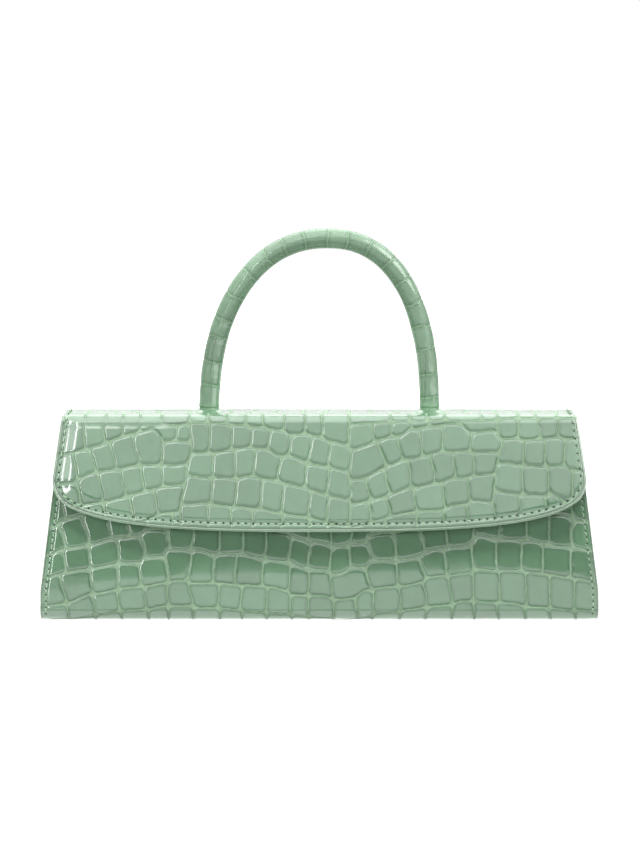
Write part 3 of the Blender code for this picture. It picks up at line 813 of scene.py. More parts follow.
def leather_material(name, scale_colour, groove_colour, gloss, grit=0.022):
    """Glossy embossed leather. It reads leather (groove distance, tone, relief), seam (along in
    stitches, off, distance from the edge) and skin (millimetres on the leather)."""
    look, tree, sockets = material(name, {
        "Roughness": 0.42, "Specular IOR Level": 0.06, "Coat Roughness": 0.062, "Coat IOR": 1.53,
    })
    groove, tone, embossed = parts(tree, fact(tree, "leather"))
    stitch, off, edge = parts(tree, fact(tree, "seam"))
    skin = fact(tree, "skin")
    fine = grain(tree, skin, 1.1, 3.0)
    ragged = grain(tree, skin, 2.7, 2.0)
    away = groove + (fine - 0.5) * 0.50 + (ragged - 0.5) * 0.58
    worn = grain(tree, skin, 0.55, 2.0) * 1.3 + 0.22
    # On the body's leather the groove colour holds painted sheen as well as the grooves' own tint
    pale = away.step(0.48, 0.21) * embossed * worn

    # Each scale has its own tone and clouds in it, and painted shade darkens its shoulder beside the groove
    painted_shoulder_shade = away.between(0.5, 0.8, 0.9, 2.2) * embossed
    cloud = grain(tree, skin, 0.16, 2.0)
    lift = tone * 0.095 + 1.0 + (cloud - 0.5) * 0.22 + (fine - 0.5) * 0.10 + painted_shoulder_shade * -0.20
    field = shaded(tree, blended(tree, pale, scale_colour, groove_colour), lift)

    # Painted shade in the stitch holes and the crease beside the rim, and a painted highlight that makes the
    # rim paler
    run = (maths(tree, "FRACT", stitch) - 0.5) * STITCH_PITCH
    hole = maths(tree, "SQRT", run * run + off * off).step(0.66, 0.38)
    crease = abs(edge - CREASE).step(0.38, 0.10)
    dark = maths(tree, "MAXIMUM", crease * 0.62, hole * 0.90)
    field = blended(tree, dark, field, tuple(0.16 * v for v in scale_colour))
    # Painted highlight: the rounded rim is blended towards the pale groove colour
    field = blended(tree, edge.step(1.15, 0.75) * 0.45, field, groove_colour)
    feed(tree, sockets["Base Color"], field)

    # The polish stays on the scales and misses the grooves and holes
    polish = away.step(0.90, 0.45) * embossed * -0.88 + 1.0
    feed(tree, sockets["Coat Weight"], polish * (hole * -0.9 + 1.0) * gloss)

    wrinkle = cells(tree, skin, 1.9) * 0.35 + grain(tree, skin, 2.6, 3.0, 0.6)
    ridge = abs(away - 0.22).step(0.16, 0.0)
    shape = ridge * embossed * 0.22 + away.step(0.18, 0.62) * embossed
    shape = shape + maths(tree, "MAXIMUM", crease, hole) * -1.4
    rough = wrinkle * (pale * 2.4 + 0.15)
    feed(tree, sockets["Coat Normal"], bumped(tree, sockets, (rough, grit * MM), (shape, 0.09 * MM)))
    return look


def thread_material():
    look, tree, sockets = material("waxed_thread", {"Roughness": 0.48})
    twist = wave(tree, fact(tree, "skin"), 1.7, 0.6, 2.0)
    feed(tree, sockets["Base Color"], blended(tree, twist, (0.26, 0.44, 0.27), (0.52, 0.70, 0.50)))
    bumped(tree, sockets, (twist, 0.06 * MM))
    return look


def twill_material():
    look, tree, sockets = material("lining_twill", {
        "Roughness": 0.82, "Specular IOR Level": 0.2, "Sheen Weight": 0.25, "Sheen Roughness": 0.5,
    })
    skin = fact(tree, "skin")
    weave = wave(tree, skin, 5.2, 0.3, 1.0, "X") * 0.35 + wave(tree, skin, 3.4, 0.5, 1.0)
    slub = grain(tree, skin, 0.35, 3.0, 0.6)
    shade = slub * 0.16 + 0.72 + weave * 0.22
    feed(tree, sockets["Base Color"], shaded(tree, (0.62, 0.59, 0.49), shade))
    bumped(tree, sockets, (weave, 0.10 * MM), (slub, 0.05 * MM))
    return look


def cord_material():
    look, tree, sockets = material("filler_cord", {"Roughness": 0.85})
    skin = fact(tree, "skin")
    twist = wave(tree, skin, 1.3, 1.5, 2.0)
    feed(tree, sockets["Base Color"], blended(tree, twist, (0.66, 0.61, 0.49), (0.86, 0.83, 0.74)))
    bumped(tree, sockets, (grain(tree, skin, 2.4, 4.0, 0.7), 0.10 * MM), (twist, 0.12 * MM))
    return look


def metal_material():
    look, tree, sockets = material("satin_nickel", {"Metallic": 1.0})
    at = node(tree, "TexCoord", output="Object")
    brushed = node(tree, "VectorMath", at, (9000.0, 700.0, 9000.0), operation="MULTIPLY")
    lines = grain(tree, brushed, 1.0, 3.0, 0.6)
    cloud = grain(tree, at, 420.0, 2.0)
    feed(tree, sockets["Base Color"], blended(tree, cloud, (0.25, 0.245, 0.235), (0.33, 0.322, 0.305)))
    feed(tree, sockets["Roughness"], lines * 0.16 + 0.22)
    bumped(tree, sockets, (lines, 0.004 * MM))
    return look


def board_material():
    look, tree, sockets = material("bonded_fibre_board", {"Roughness": 0.88})
    at = node(tree, "TexCoord", output="Object")
    fibre = grain(tree, at, 900.0, 4.0, 0.7)
    field = blended(tree, fibre, (0.20, 0.13, 0.07), (0.40, 0.29, 0.18))
    field = blended(tree, cells(tree, at, 1400.0) * 0.35, field, (0.52, 0.42, 0.29))
    feed(tree, sockets["Base Color"], field)
    bumped(tree, sockets, (fibre, 0.10 * MM))
    return look


LEATHER_LOOK = leather_material("glossy_leather", SCALE_COLOUR, GROOVE_TINT_AND_SHEEN, 1.0)
HANDLE_LOOK = leather_material("handle_leather_painted_light", HANDLE_COLOUR_WITH_PAINTED_LIGHT, RING_COLOUR, 0.5, 0.006)
THREAD_LOOK = thread_material()
TWILL_LOOK = twill_material()


# Outer leather: the fields of its two sheets meet only where no edge shows

FLAP_FIELD = extended(FLAP_BANDS, 40, 262, 11)
PANEL_FIELD = extended(PANEL_BANDS, -64, 98, 47)
WRAP_SEED = 5
# Depths and heights of the relief, in mm
GROOVE_DEPTH = 0.17
CROWN_HEIGHT = 0.06
LEAN_HEIGHT = 0.018
SIDE_SEAM_DIP = 0.22
FLAP_SEAM_DIP = 0.20
RIM_DIP = 0.10
RIM_FALL = 0.25
# How deep the front panel's relief is, as a share of the flap's
PANEL_RELIEF = 0.78
# Millimetres along the leather at which the flap's lip begins
LIP_START = 94.6
# Height above which the lip always covers the front panel
LIP_COVERS = 0.057
# How much nearer the rim the crease of a side seam lies than the lip's
RIM_SHIFT = 0.55


def groove_dip(distance, width):
    """A soft dip of depth 1 and a width."""
    return np.exp(-((distance / width) ** 2))


def relief(x, s, field, seed, fade):
    """(height in mm, leather facts) at places on the leather, where fade is how deep it is pressed."""
    distance, number = embossing(x, s, field, seed)
    tone = hashed(number, number // 7, 3)
    groove = -GROOVE_DEPTH * (1 - ease(distance, 0.15, 0.85))
    crown = CROWN_HEIGHT * (1 - np.exp(-np.clip(distance - 0.3, 0, None) / 0.4))
    lean = hashed(number, 5, 8) * np.sin(x / 3.6 + 6 * hashed(number, 9, 2))
    lean = lean + hashed(number, 6, 9) * np.sin(s / 3.9 + 6 * hashed(number, 4, 4))
    height = groove + crown + LEAN_HEIGHT * lean * ease(distance, 0.9, 2.6)
    return height * fade, np.stack([distance, tone, np.broadcast_to(fade, x.shape)], -1)


def quiet(shape):
    """Seam facts for a place with no stitches and no edge near."""
    return np.broadcast_to((0.0, FAR, FAR), (*shape, 3))


def skin_facts(x, s, layer=0.0):
    """Places on a sheet in mm; sheets in different layers have different grain."""
    return np.stack([x / MM, s, np.full_like(s, layer)], -1)


def wrap_rows(points, out, columns):
    """A sheet as wide as the bag: (base, outward directions, x, mm from its side edges)."""
    wide = half_width(points[:, 1])[:, None]
    x = wide * np.linspace(-1, 1, columns)
    return *lofted(points, out, x), x, (wide - np.abs(x)) / MM


def wrap_look(x, s, field, edge):
    """(height, leather facts, mm off the seam) of a sheet that is sewn down both sides."""
    height, leather = relief(x / MM, s, field, WRAP_SEED, 0.35 + 0.65 * ease(edge, 1.2, 4.0))
    return height, leather, np.abs(edge - SIDE_SEAM_INSET / MM)


def side_seam(along, off, edge, sewn):
    rim = np.where(edge < 2.2, edge + RIM_SHIFT, FAR)
    return np.stack([along, np.where(sewn, off, FAR), rim], -1)


def leather_sheet(name, base, normal, height, leather, seam, skin):
    facts = {"leather": leather, "seam": seam, "skin": skin}
    return shell(name, base, normal, LEATHER, LEATHER_LOOK, height * MM, facts)


def panel_bulge(x, s):
    """The front panel bulges most above its foot, and less towards its sides and top."""
    level = s + 2.5 + 5 * (x / 0.13) ** 4 - 2.5 * x / 0.13
    rise = ease(level, 3, 26) * (1 - 0.42 * ease(level, 24, 56)) * (1 - 0.6 * (x / 0.135) ** 4)
    return 0.62 * rise + 0.16 * noise(x / 0.038, s / 33, 71) * ease(s, 8, 24)


def front_leather():
    covered = at_height(FRONT_LOW, FRONT_TOP, LIP_COVERS)
    points, out, run = profile(
        straight(FRONT_TOP, covered, 1.3 * MM),
        straight(covered, FRONT_LOW, 0.55 * MM),
        bend(FRONT_CORNER, BASE_RADIUS, FRONT_TURN, 270, 0.6 * MM),
        straight(FRONT_FLOOR, np.array([BASE_SPLIT, 0.0]), 1.6 * MM),
    )
    base, normal, x, edge = wrap_rows(points, out, 470)
    corner = np.argmin(np.abs(points[:, 1] - FRONT_LOW[1]))
    below = FRONT_LOW[1] - (run - run[corner])
    s = rowwise(np.where(np.arange(len(run)) <= corner, points[:, 1], below) / MM, x)
    height, leather, off = wrap_look(x, s, PANEL_FIELD, edge)
    height = PANEL_RELIEF * height - SIDE_SEAM_DIP * groove_dip(off, 1.1) + panel_bulge(x, s)
    along = (s - SIDE_SEAM_START) * SIDE_SEAM_STRETCH / SIDE_PITCH
    seam = side_seam(along, off, edge, (s > 1) & (s < 80))
    made = leather_sheet("front_leather", base, normal, height, leather, seam, skin_facts(x, s))
    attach(made, "bag_body")
    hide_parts("body_wrap")


def flap_base(columns):
    """The flap's points, outward directions, mm up the leather, and mm along and off its seam and
    from its edge."""
    points, out, run = profile(
        straight(np.array([ROOF_SPLIT, BODY_HEIGHT]), np.array([FRONT_FOLD[0], BODY_HEIGHT]), 0.6 * MM),
        bend(FRONT_FOLD, FOLD_RADIUS, 90, LIP_TURN, 0.48 * MM),
    )
    wide = lip_half_width(points[:, 1])[:, None]
    roof_x = wide * np.linspace(-1, 1, columns)
    roof_edge = (wide - np.abs(roof_x)) / MM
    past_fold = rowwise((run[-1] - run) / MM, roof_x)
    roof, roof_normal = lofted(points, out, roof_x)
    lip = lip_grid(100, columns)[1:]
    base = np.concatenate([roof, on_lip(lip[..., 0], lip[..., 1])])
    normal = np.concatenate([roof_normal, np.broadcast_to(LIP_OUT, (*lip.shape[:2], 3))])
    s = np.concatenate([LIP_START + past_fold, lip[..., 1] / MM])
    sewn = lip_edge(FLAP_SEAM_INSET, FLAP_SEAM_SIDE)
    lip_off, lip_along = nearest(lip, sewn[::3])
    off = np.concatenate([np.abs(roof_edge - FLAP_SEAM_SIDE / MM), lip_off / MM])
    roof_along = np.where(roof_x < 0, -past_fold, lengths(sewn)[-1] / MM + past_fold)
    along = np.concatenate([roof_along, lip_along / MM])
    edge = np.concatenate([roof_edge, nearest(lip, lip_edge()[::3])[0] / MM])
    return base, normal, s, along, off, edge


def lip_fullness(x, s, edge):
    """Height in mm that the filler inside gives the lip."""
    # It puffs the lip up from its seam, more at the left side
    side = ease(np.abs(x), 0.098, 0.118)
    puff = side * np.where(x < 0, 0.60, 0.12) * (ease(edge, 3.4, 9.5) - 1)
    puff = puff + (1 - side) * 0.10 * (ease(edge, 3.4, 6.2) - 1)
    below = 94 - s
    full = (0.10 + 0.42 * ease(x, -0.04, 0.11)) * ease(below, -3, 9 + 6 * ease(x, 0, 0.12))
    full = full + 0.14 * noise(x / 0.034, s / 29, 33) + 0.15 * (1 - (x / 0.13) ** 2) * ease(below, 2, 30)
    return puff * (1 - ease(s, 94, 99)) + full


def with_mounds(base, height, distance):
    """Height and groove distance with smooth mounds round the handle's feet."""
    on_roof = base[..., 2] > BODY_HEIGHT - 1e-5
    for place in (-1, 1):
        foot = np.hypot(base[..., 0] - place * HANDLE_SPAN / 2, base[..., 1]) / MM
        mound = (MOUND_HEIGHT / MM) * (1 - ease(foot, 5.4, 9.6)) * on_roof
        pressed = height * (1 - 0.85 * (1 - ease(foot, 7, 10.5)))
        height = np.where(mound > 0, pressed + mound, height)
        near = (1 - ease(foot, 7.5, 9.5)) * on_roof
        distance = distance * (1 - near) + FAR * near
    return height, distance


def flap_leather():
    base, normal, s, along, off, edge = flap_base(500)
    x = base[..., 0]
    fade = 0.30 + 0.70 * ease(edge, 1.4, 3.6)
    height, leather = relief(x / MM, s, FLAP_FIELD, WRAP_SEED, fade * (1 - 0.55 * ease(s, 92, 97)))
    # The scales are pressed flat on the left of the fold
    calm = 1 - 0.85 * ease(-x, 0.070, 0.078) * ease(s, 91.8, 93.0) * (1 - ease(s, 96.5, 98))
    height = height * calm
    leather[..., 2] = fade * calm
    height = height - FLAP_SEAM_DIP * groove_dip(off, 0.9) - RIM_DIP * groove_dip(edge - CREASE, 0.3)
    height = height - RIM_FALL * (1 - ease(edge, 0, 1.0)) + lip_fullness(x, s, edge)
    height, leather[..., 0] = with_mounds(base, height, leather[..., 0])
    seam = np.stack([along / STITCH_PITCH, np.where(edge < 7, off, FAR), np.minimum(edge, FAR)], -1)
    made = leather_sheet("flap_leather", base, normal, height, leather, seam, skin_facts(x, s, 40.0))
    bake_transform(made)
    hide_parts("roof_leather", "lip_leather")


def back_leather():
    points, out, run = profile(
        straight(np.array([BASE_SPLIT + 0.2 * MM, 0.0]), BACK_FLOOR, 1.6 * MM),
        bend(BACK_CORNER, BASE_RADIUS, -90, BACK_TURN, 0.7 * MM),
        straight(BACK_LOW, BACK_HIGH, 0.68 * MM),
        bend(BACK_FOLD, FOLD_RADIUS, BACK_TURN, 90, 0.55 * MM),
        straight(BACK_ROOF, np.array([ROOF_SPLIT, BODY_HEIGHT]), 0.65 * MM),
    )
    base, normal, x, edge = wrap_rows(points, out, 400)
    roof_run = math.radians(LIP_TURN - 90) * FOLD_RADIUS + ROOF_SPLIT - FRONT_FOLD[0]
    s = rowwise(LIP_START + (roof_run + run[-1] - run) / MM, x)
    height, leather, off = wrap_look(x, s, FLAP_FIELD, edge)
    height = height - SIDE_SEAM_DIP * groove_dip(off, 1.1) + 0.15 * noise(x / 0.036, s / 31, 55)
    seam_start = np.argmin(np.abs(points[:, 1] - BACK_LOW[1]) + 9 * (points[:, 0] < 0.02))
    up = rowwise((BACK_LOW[1] + run - run[seam_start]) / MM, x)
    sewn = (up > 1) & (base[..., 2] / MM < 80) & (base[..., 1] > 0.015)
    seam = side_seam((up - SIDE_SEAM_START) / SIDE_PITCH, off, edge, sewn)
    made = leather_sheet("back_leather", base, normal, height, leather, seam, skin_facts(x, s, 40.0))
    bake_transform(made)


# Stitches

def tube_faces(first, rings, sides):
    """Faces of a closed tube whose points lie in rings, from point number first on."""
    faces = []
    for ring in range(rings - 1):
        for turn in range(sides):
            a = first + ring * sides + turn
            b = first + ring * sides + (turn + 1) % sides
            faces.append((a, a + sides, b + sides, b))
    last = first + (rings - 1) * sides
    faces.append([first + turn for turn in range(sides)])
    faces.append([last + turn for turn in reversed(range(sides))])
    return faces


# A stitch's length and radius, and how far its middle lies above the leather
FLAP_STITCH = (2.35 * MM, 0.34 * MM, 0.10 * MM)
SIDE_STITCH = (2.15 * MM, 0.31 * MM, 0.06 * MM)
STITCH_SINK = 0.30 * MM
SEAM_SINK = 0.42 * MM
FLAP_SEAM_END = 0.0185
SIDE_SEAM_END = 0.079


def stitch_shape(length, radius, sink):
    """One stitch as rings of (along, up, radius): it rises from one hole and dives into the next."""
    rings = []
    for t in np.linspace(-1, 1, 7):
        thick = radius * math.sqrt(max(0.05, 1 - 0.82 * t ** 6))
        rings.append((length / 2 * t, -sink * t ** 4, thick))
    return rings


def stitches(name, routes, pitch, kind):
    """A row of stitches along each route of (points, outward directions, where the first one is)."""
    points, faces, skin = [], [], []
    sides = 8
    length, radius, lift = kind
    shape = stitch_shape(length, radius, STITCH_SINK)
    for number, (line, out, start) in enumerate(routes):
        run = lengths(line)
        places = np.arange(start, run[-1], pitch)
        at = read_line(places, run, line)
        ahead, behind = (read_line(places + step, run, line) for step in (0.2 * MM, -0.2 * MM))
        up = unit(read_line(places, run, out))
        way = unit(ahead - behind)
        side = np.cross(way, up)
        for k in range(len(places)):
            skew = 0.16 * hashed(k, number, 5) - 0.10
            forward = unit(way[k] + skew * side[k])
            beside = np.cross(forward, up[k])
            size = 1 + 0.06 * hashed(k, number, 9)
            faces += tube_faces(len(points), len(shape), sides)
            for along, rise, thick in shape:
                middle = at[k] + forward * along * size + up[k] * (lift + rise)
                for turn in range(sides):
                    angle = 2 * math.pi * turn / sides
                    round_it = math.cos(angle) * beside + 0.8 * math.sin(angle) * up[k]
                    points.append(middle + thick * size * round_it)
                    skin.append((along / MM, thick / MM * angle, 7.0 * k))
    made = piece(name, np.array(points), faces, THREAD_LOOK, {"skin": np.array(skin)}, sharp=60)
    return made


def flap_stitches():
    line = lip_edge(FLAP_SEAM_INSET, FLAP_SEAM_SIDE)
    places = on_lip(line[:, 0], line[:, 1])
    fold, fold_out, _ = profile(
        bend(FRONT_FOLD, FOLD_RADIUS, LIP_TURN, 90, 0.4 * MM),
        straight(FRONT_ROOF, np.array([FLAP_SEAM_END, BODY_HEIGHT]), 1.0 * MM),
    )
    x = lip_half_width(fold[:, 1]) - FLAP_SEAM_SIDE
    turn = np.column_stack([np.zeros(len(x)), fold_out])[1:]
    left, right = (np.column_stack([side * x, fold])[1:] for side in (-1, 1))
    route = np.concatenate([left[::-1], places, right])
    out = np.concatenate([turn[::-1], np.broadcast_to(LIP_OUT, places.shape), turn])
    pitch = STITCH_PITCH * MM
    start = lengths(np.concatenate([places[:1], right]))[-1] % pitch
    # On the roof the row lies in the dip of its seam
    on_roof = ease(route[:, 2:], BODY_HEIGHT - 2 * MM, BODY_HEIGHT - 0.3 * MM)
    route = route - out * (SEAM_SINK * on_roof)
    made = stitches("flap_stitches", [(route, out, start)], pitch, FLAP_STITCH)
    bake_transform(made)
    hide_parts("flap_thread")


def side_stitches():
    drop = math.degrees((FRONT_LOW[1] - SIDE_SEAM_START * MM) / BASE_RADIUS)
    for name, low, high, corner, turn, sense in (
        ("front", FRONT_LOW, FRONT_TOP, FRONT_CORNER, FRONT_TURN, 1),
        ("back", BACK_LOW, BACK_HIGH, BACK_CORNER, BACK_TURN, -1),
    ):
        top = at_height(low, high, SIDE_SEAM_END)
        rise = (top - low) * np.linspace(0, 1, 60)[1:, None] + low
        curved, curved_out = bend(corner, BASE_RADIUS, turn + sense * drop, turn, 0.4 * MM)
        line = np.concatenate([curved, rise])
        facing = np.concatenate([curved_out, np.tile(direction(turn), (len(rise), 1))])
        x = half_width(line[:, 1]) - SIDE_SEAM_INSET
        out = np.column_stack([0 * x, facing])
        routes = [(np.column_stack([side * x, line]), out, 0.0) for side in (-1, 1)]
        made = stitches(f"{name}_stitches", routes, SIDE_PITCH * MM, SIDE_STITCH)
        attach(made, "bag_body")
        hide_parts(f"seam_thread_{name}_left", f"seam_thread_{name}_right")


# Handle

# (x, z) in mm of the creases between its scales, from its left foot over to its right
HANDLE_RINGS = (
    (-52, 111.4), (-50.5, 123.5), (-48, 134.8), (-45.5, 143.6), (-39.7, 154.4), (-33.4, 164.5),
    (-23.9, 172.5), (-16.1, 176.2), (-7.5, 179.6), (4.4, 181.9), (13.1, 180.9), (23.9, 177.3),
    (33, 170.1), (39.8, 162), (46, 152.4), (50.5, 140), (52.7, 130), (53.3, 116.6), (53.9, 105.8),
)
UNDER_ARCH = np.array([0, 0, 0.12])
# Depths and heights of the handle's relief, in mm
HANDLE_FULLNESS = 0.25
RING_DEPTH = 0.13
RING_CROWN = 0.08
LAP_DEPTH = 0.30
LAP_STEP = 0.10
FOOT_BEAD = 0.10
FOOT_DIP = 0.22
FORWARD = np.array([0.0, -1.0, 0.0])


def handle_point(turn):
    p = 2 / HANDLE_SQUARENESS
    c, s = np.cos(turn), np.maximum(np.sin(turn), 0)
    h = HANDLE_RISE * s ** p
    x = np.sign(c) * np.abs(c) ** p * HANDLE_SPAN / 2 + HANDLE_LEAN * (h / HANDLE_RISE) ** 2
    return np.stack([x, np.zeros_like(x), BODY_HEIGHT + h], -1)


def handle_line(steps):
    """Points along the handle from its left foot over to its right, how far along they are, and outward."""
    route = handle_point(np.linspace(np.pi, 0, 3000))
    low = BODY_HEIGHT + MOUND_HEIGHT - 0.5 * MM
    foot_left = np.array([[-HANDLE_SPAN / 2, 0, low]])
    route = route[route[:, 2] > low]
    route = even(np.concatenate([foot_left, route, foot_left * (-1, 1, 1)]), steps)
    up = unit(np.cross(unit(np.gradient(route, axis=0)), (0, 1, 0)))
    up = up * np.sign(np.sum(up * (route - UNDER_ARCH), 1))[:, None]
    return route, lengths(route), up


HANDLE_ROUTE = handle_line(700)


def handle_relief(s, turn):
    """(height in mm, leather facts, seam facts) at mm along the tube and angles round it."""
    route, run, _ = HANDLE_ROUTE
    marks = [np.argmin(np.hypot(route[:, 0] - x * MM, route[:, 2] - z * MM)) for x, z in HANDLE_RINGS]
    rings = run[marks] / MM
    numbers = range(len(rings))
    slant = np.array([1.1 * hashed(k, 1, 77) for k in numbers])
    wobble = np.stack([noise(turn / 0.9, np.full_like(turn, 3.0 * k), 81) for k in numbers], -1)
    sway = np.sin(turn)[..., None] * slant + 0.5 * wobble
    distance = np.min(np.abs(s[..., None] - rings - sway), -1)
    cell = np.sum(s[..., None] > rings + sway, -1)

    # A join runs along the inner side, and an overlap up the front of each leg
    join = np.abs((turn - np.pi) * HANDLE_RADIUS / MM + 0.3 * noise(s / 9, 0 * s, 83))
    distance = np.minimum(distance, join)
    left, right = s, run[-1] / MM - s
    across = (turn - np.pi / 2) * HANDLE_RADIUS / MM
    past_left = across - (0.6 - 1.6 * ease(left, 4, 38))
    past_right = across - (2.2 - 1.9 * ease(right, 5, 30))
    left_lap = np.abs(past_left + 0.3 * noise(s / 6, 0 * s + 5, 83))
    right_lap = np.abs(past_right + 0.3 * noise(s / 6, 0 * s + 9, 83))
    left_end = 1 - ease(left, 34, 39)
    right_end = (1 - ease(right, 26, 31)) * ease(right, 4, 8)
    before = turn < np.pi

    height = -RING_DEPTH * (1 - ease(distance, 0.2, 0.9)) + RING_CROWN * ease(distance, 0.8, 4)
    lap = groove_dip(left_lap, 0.5) * left_end + groove_dip(right_lap, 0.5) * right_end
    height = height - LAP_DEPTH * lap
    height = height + LAP_STEP * (past_left > 0) * left_end * before
    foot = np.minimum(left, right)
    height = height + FOOT_BEAD * groove_dip(foot - 2.2, 0.7) - FOOT_DIP * groove_dip(foot - 1.2, 0.35)
    height = height + 0.10 * noise(s / 14, turn * 1.3, 85)
    # Painted shade: the outer half of the left leg, out to its overlap, is made darker by lowering its tone
    shade = (1 - ease(past_left, -0.2, 0.2)) * (left < 37) * before
    tone = hashed(cell, cell * 3 + 1, 13) - 1.7 * shade
    leather = np.stack([distance, tone, 0.9 * ease(foot, 1.0, 3.0)], -1)
    # Painted shade: the crease's darkening falls along the lap lines
    crease = np.minimum(left_lap + FAR * (left > 36), right_lap + FAR * (right > 28)) + CREASE
    seam = np.stack([np.zeros_like(s), np.full_like(s, FAR), np.where(foot > 4, crease, FAR)], -1)
    return height, leather, seam


def handle():
    """The leather tube and its bore, which has a third as many points round it."""
    route, run, up = HANDLE_ROUTE
    around, thinned = 54, 3
    angle = np.linspace(0, 2 * np.pi, around, endpoint=False)
    # Angle 0 faces outward from the arch and 90 degrees faces the front
    out = np.cos(angle)[None, :, None] * up[:, None] + np.sin(angle)[None, :, None] * FORWARD
    turn = np.repeat(angle[None], len(route), 0)
    s = np.repeat(run[:, None] / MM, around, 1)
    height, leather, seam = handle_relief(s, turn)
    skin = np.stack([s, np.cos(turn) * HANDLE_RADIUS / MM, np.sin(turn) * HANDLE_RADIUS / MM], -1)
    radius = HANDLE_RADIUS + (height + HANDLE_FULLNESS) * MM
    tube = route[:, None] + radius[..., None] * out
    grid = np.arange(s.size).reshape(s.shape)
    faces = grid_quads(np.column_stack([grid, grid[:, 0]]), turned=True).tolist()

    pick = np.array(picks(len(route), 6))
    bore = route[pick][:, None] + (HANDLE_RADIUS - HANDLE_LEATHER) * out[pick][:, ::thinned]
    inner = s.size + np.arange(bore[..., 0].size).reshape(len(pick), -1)
    faces += grid_quads(np.column_stack([inner, inner[:, 0]])).tolist()
    for outer_row, inner_row, way in ((grid[0], inner[0], 1), (grid[-1], inner[-1], -1)):
        for k in range(len(inner_row)):
            loop = [int(outer_row[(thinned * k + j) % around]) for j in range(thinned + 1)]
            loop += [int(inner_row[(k + 1) % len(inner_row)]), int(inner_row[k])]
            faces.append(loop[::way])
    points = np.concatenate([tube.reshape(-1, 3), bore.reshape(-1, 3)])
    carried = {}
    for key, values in (("leather", leather), ("seam", seam), ("skin", skin)):
        carried[key] = np.concatenate([values.reshape(-1, 3), values[pick][:, ::thinned].reshape(-1, 3)])
    made = piece("handle_leather", points, faces, HANDLE_LOOK, carried, sharp=60)
    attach(made, "flap")
    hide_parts("handle_cover")


# Side gussets, linings and pocket

GUSSET_DEPTH = 2 * LEATHER + GAP
GUSSET_ROUND = 1.6 * MM
LAYER = LEATHER + GAP + BOARD + GAP
LIP_LAYER = LEATHER + 2 * GAP + FILLER
ROOF_LINING_WIDTH = TOP_WIDTH / 2 - 3 * MM
LINING_ROLL = 0.2 * MM
LINER_RIPPLE = 0.06 * MM
CLOTH_RIPPLE = 0.05 * MM
FACING_DROP = 16 * MM
LINING_DROP = 16.3 * MM
LINING_SPLIT = 0.080
POCKET_WIDTH = 0.130
POCKET_HEIGHTS = (0.026, 0.067, 0.074)
BINDING = 0.6 * MM


def wall_corners(depth):
    """The inside of the bag's outline at a depth, as its four corners from the front top round."""
    def shifted(point, turn):
        return point - depth * direction(turn)

    def crossing(a, way_a, b, way_b):
        return a + way_a * np.cross(b - a, way_b) / np.cross(way_a, way_b)

    front_way = FRONT_TOP - FRONT_LOW
    back_way = BACK_HIGH - BACK_LOW
    floor_point, floor_way = np.array([0.0, depth]), np.array([1.0, 0.0])
    front, back = shifted(FRONT_LOW, FRONT_TURN), shifted(BACK_LOW, BACK_TURN)
    low_front = crossing(front, front_way, floor_point, floor_way)
    low_back = crossing(back, back_way, floor_point, floor_way)
    top = BODY_HEIGHT - ROOF_STACK - 2 * GAP
    high_front = at_height(front, front + front_way, top)
    high_back = at_height(back, back + back_way, top)
    return high_front, low_front, low_back, high_back


def thickened(name, base, faces, out, thickness, look, height, facts):
    """A sheet of any faces given a thickness, with its rims closed."""
    count = len(base)
    points = np.concatenate([base + out * height[:, None], base - out * thickness])
    sides = {}
    for ring in faces:
        for a, b in zip(ring, ring[1:] + ring[:1]):
            if (b, a) in sides:
                del sides[(b, a)]
            else:
                sides[(a, b)] = True
    back = [[v + count for v in reversed(ring)] for ring in faces]
    rims = [[b, a, a + count, b + count] for a, b in sides]
    carried = {key: np.concatenate([values, values]) for key, values in facts.items()}
    return piece(name, points, faces + back + rims, look, carried)


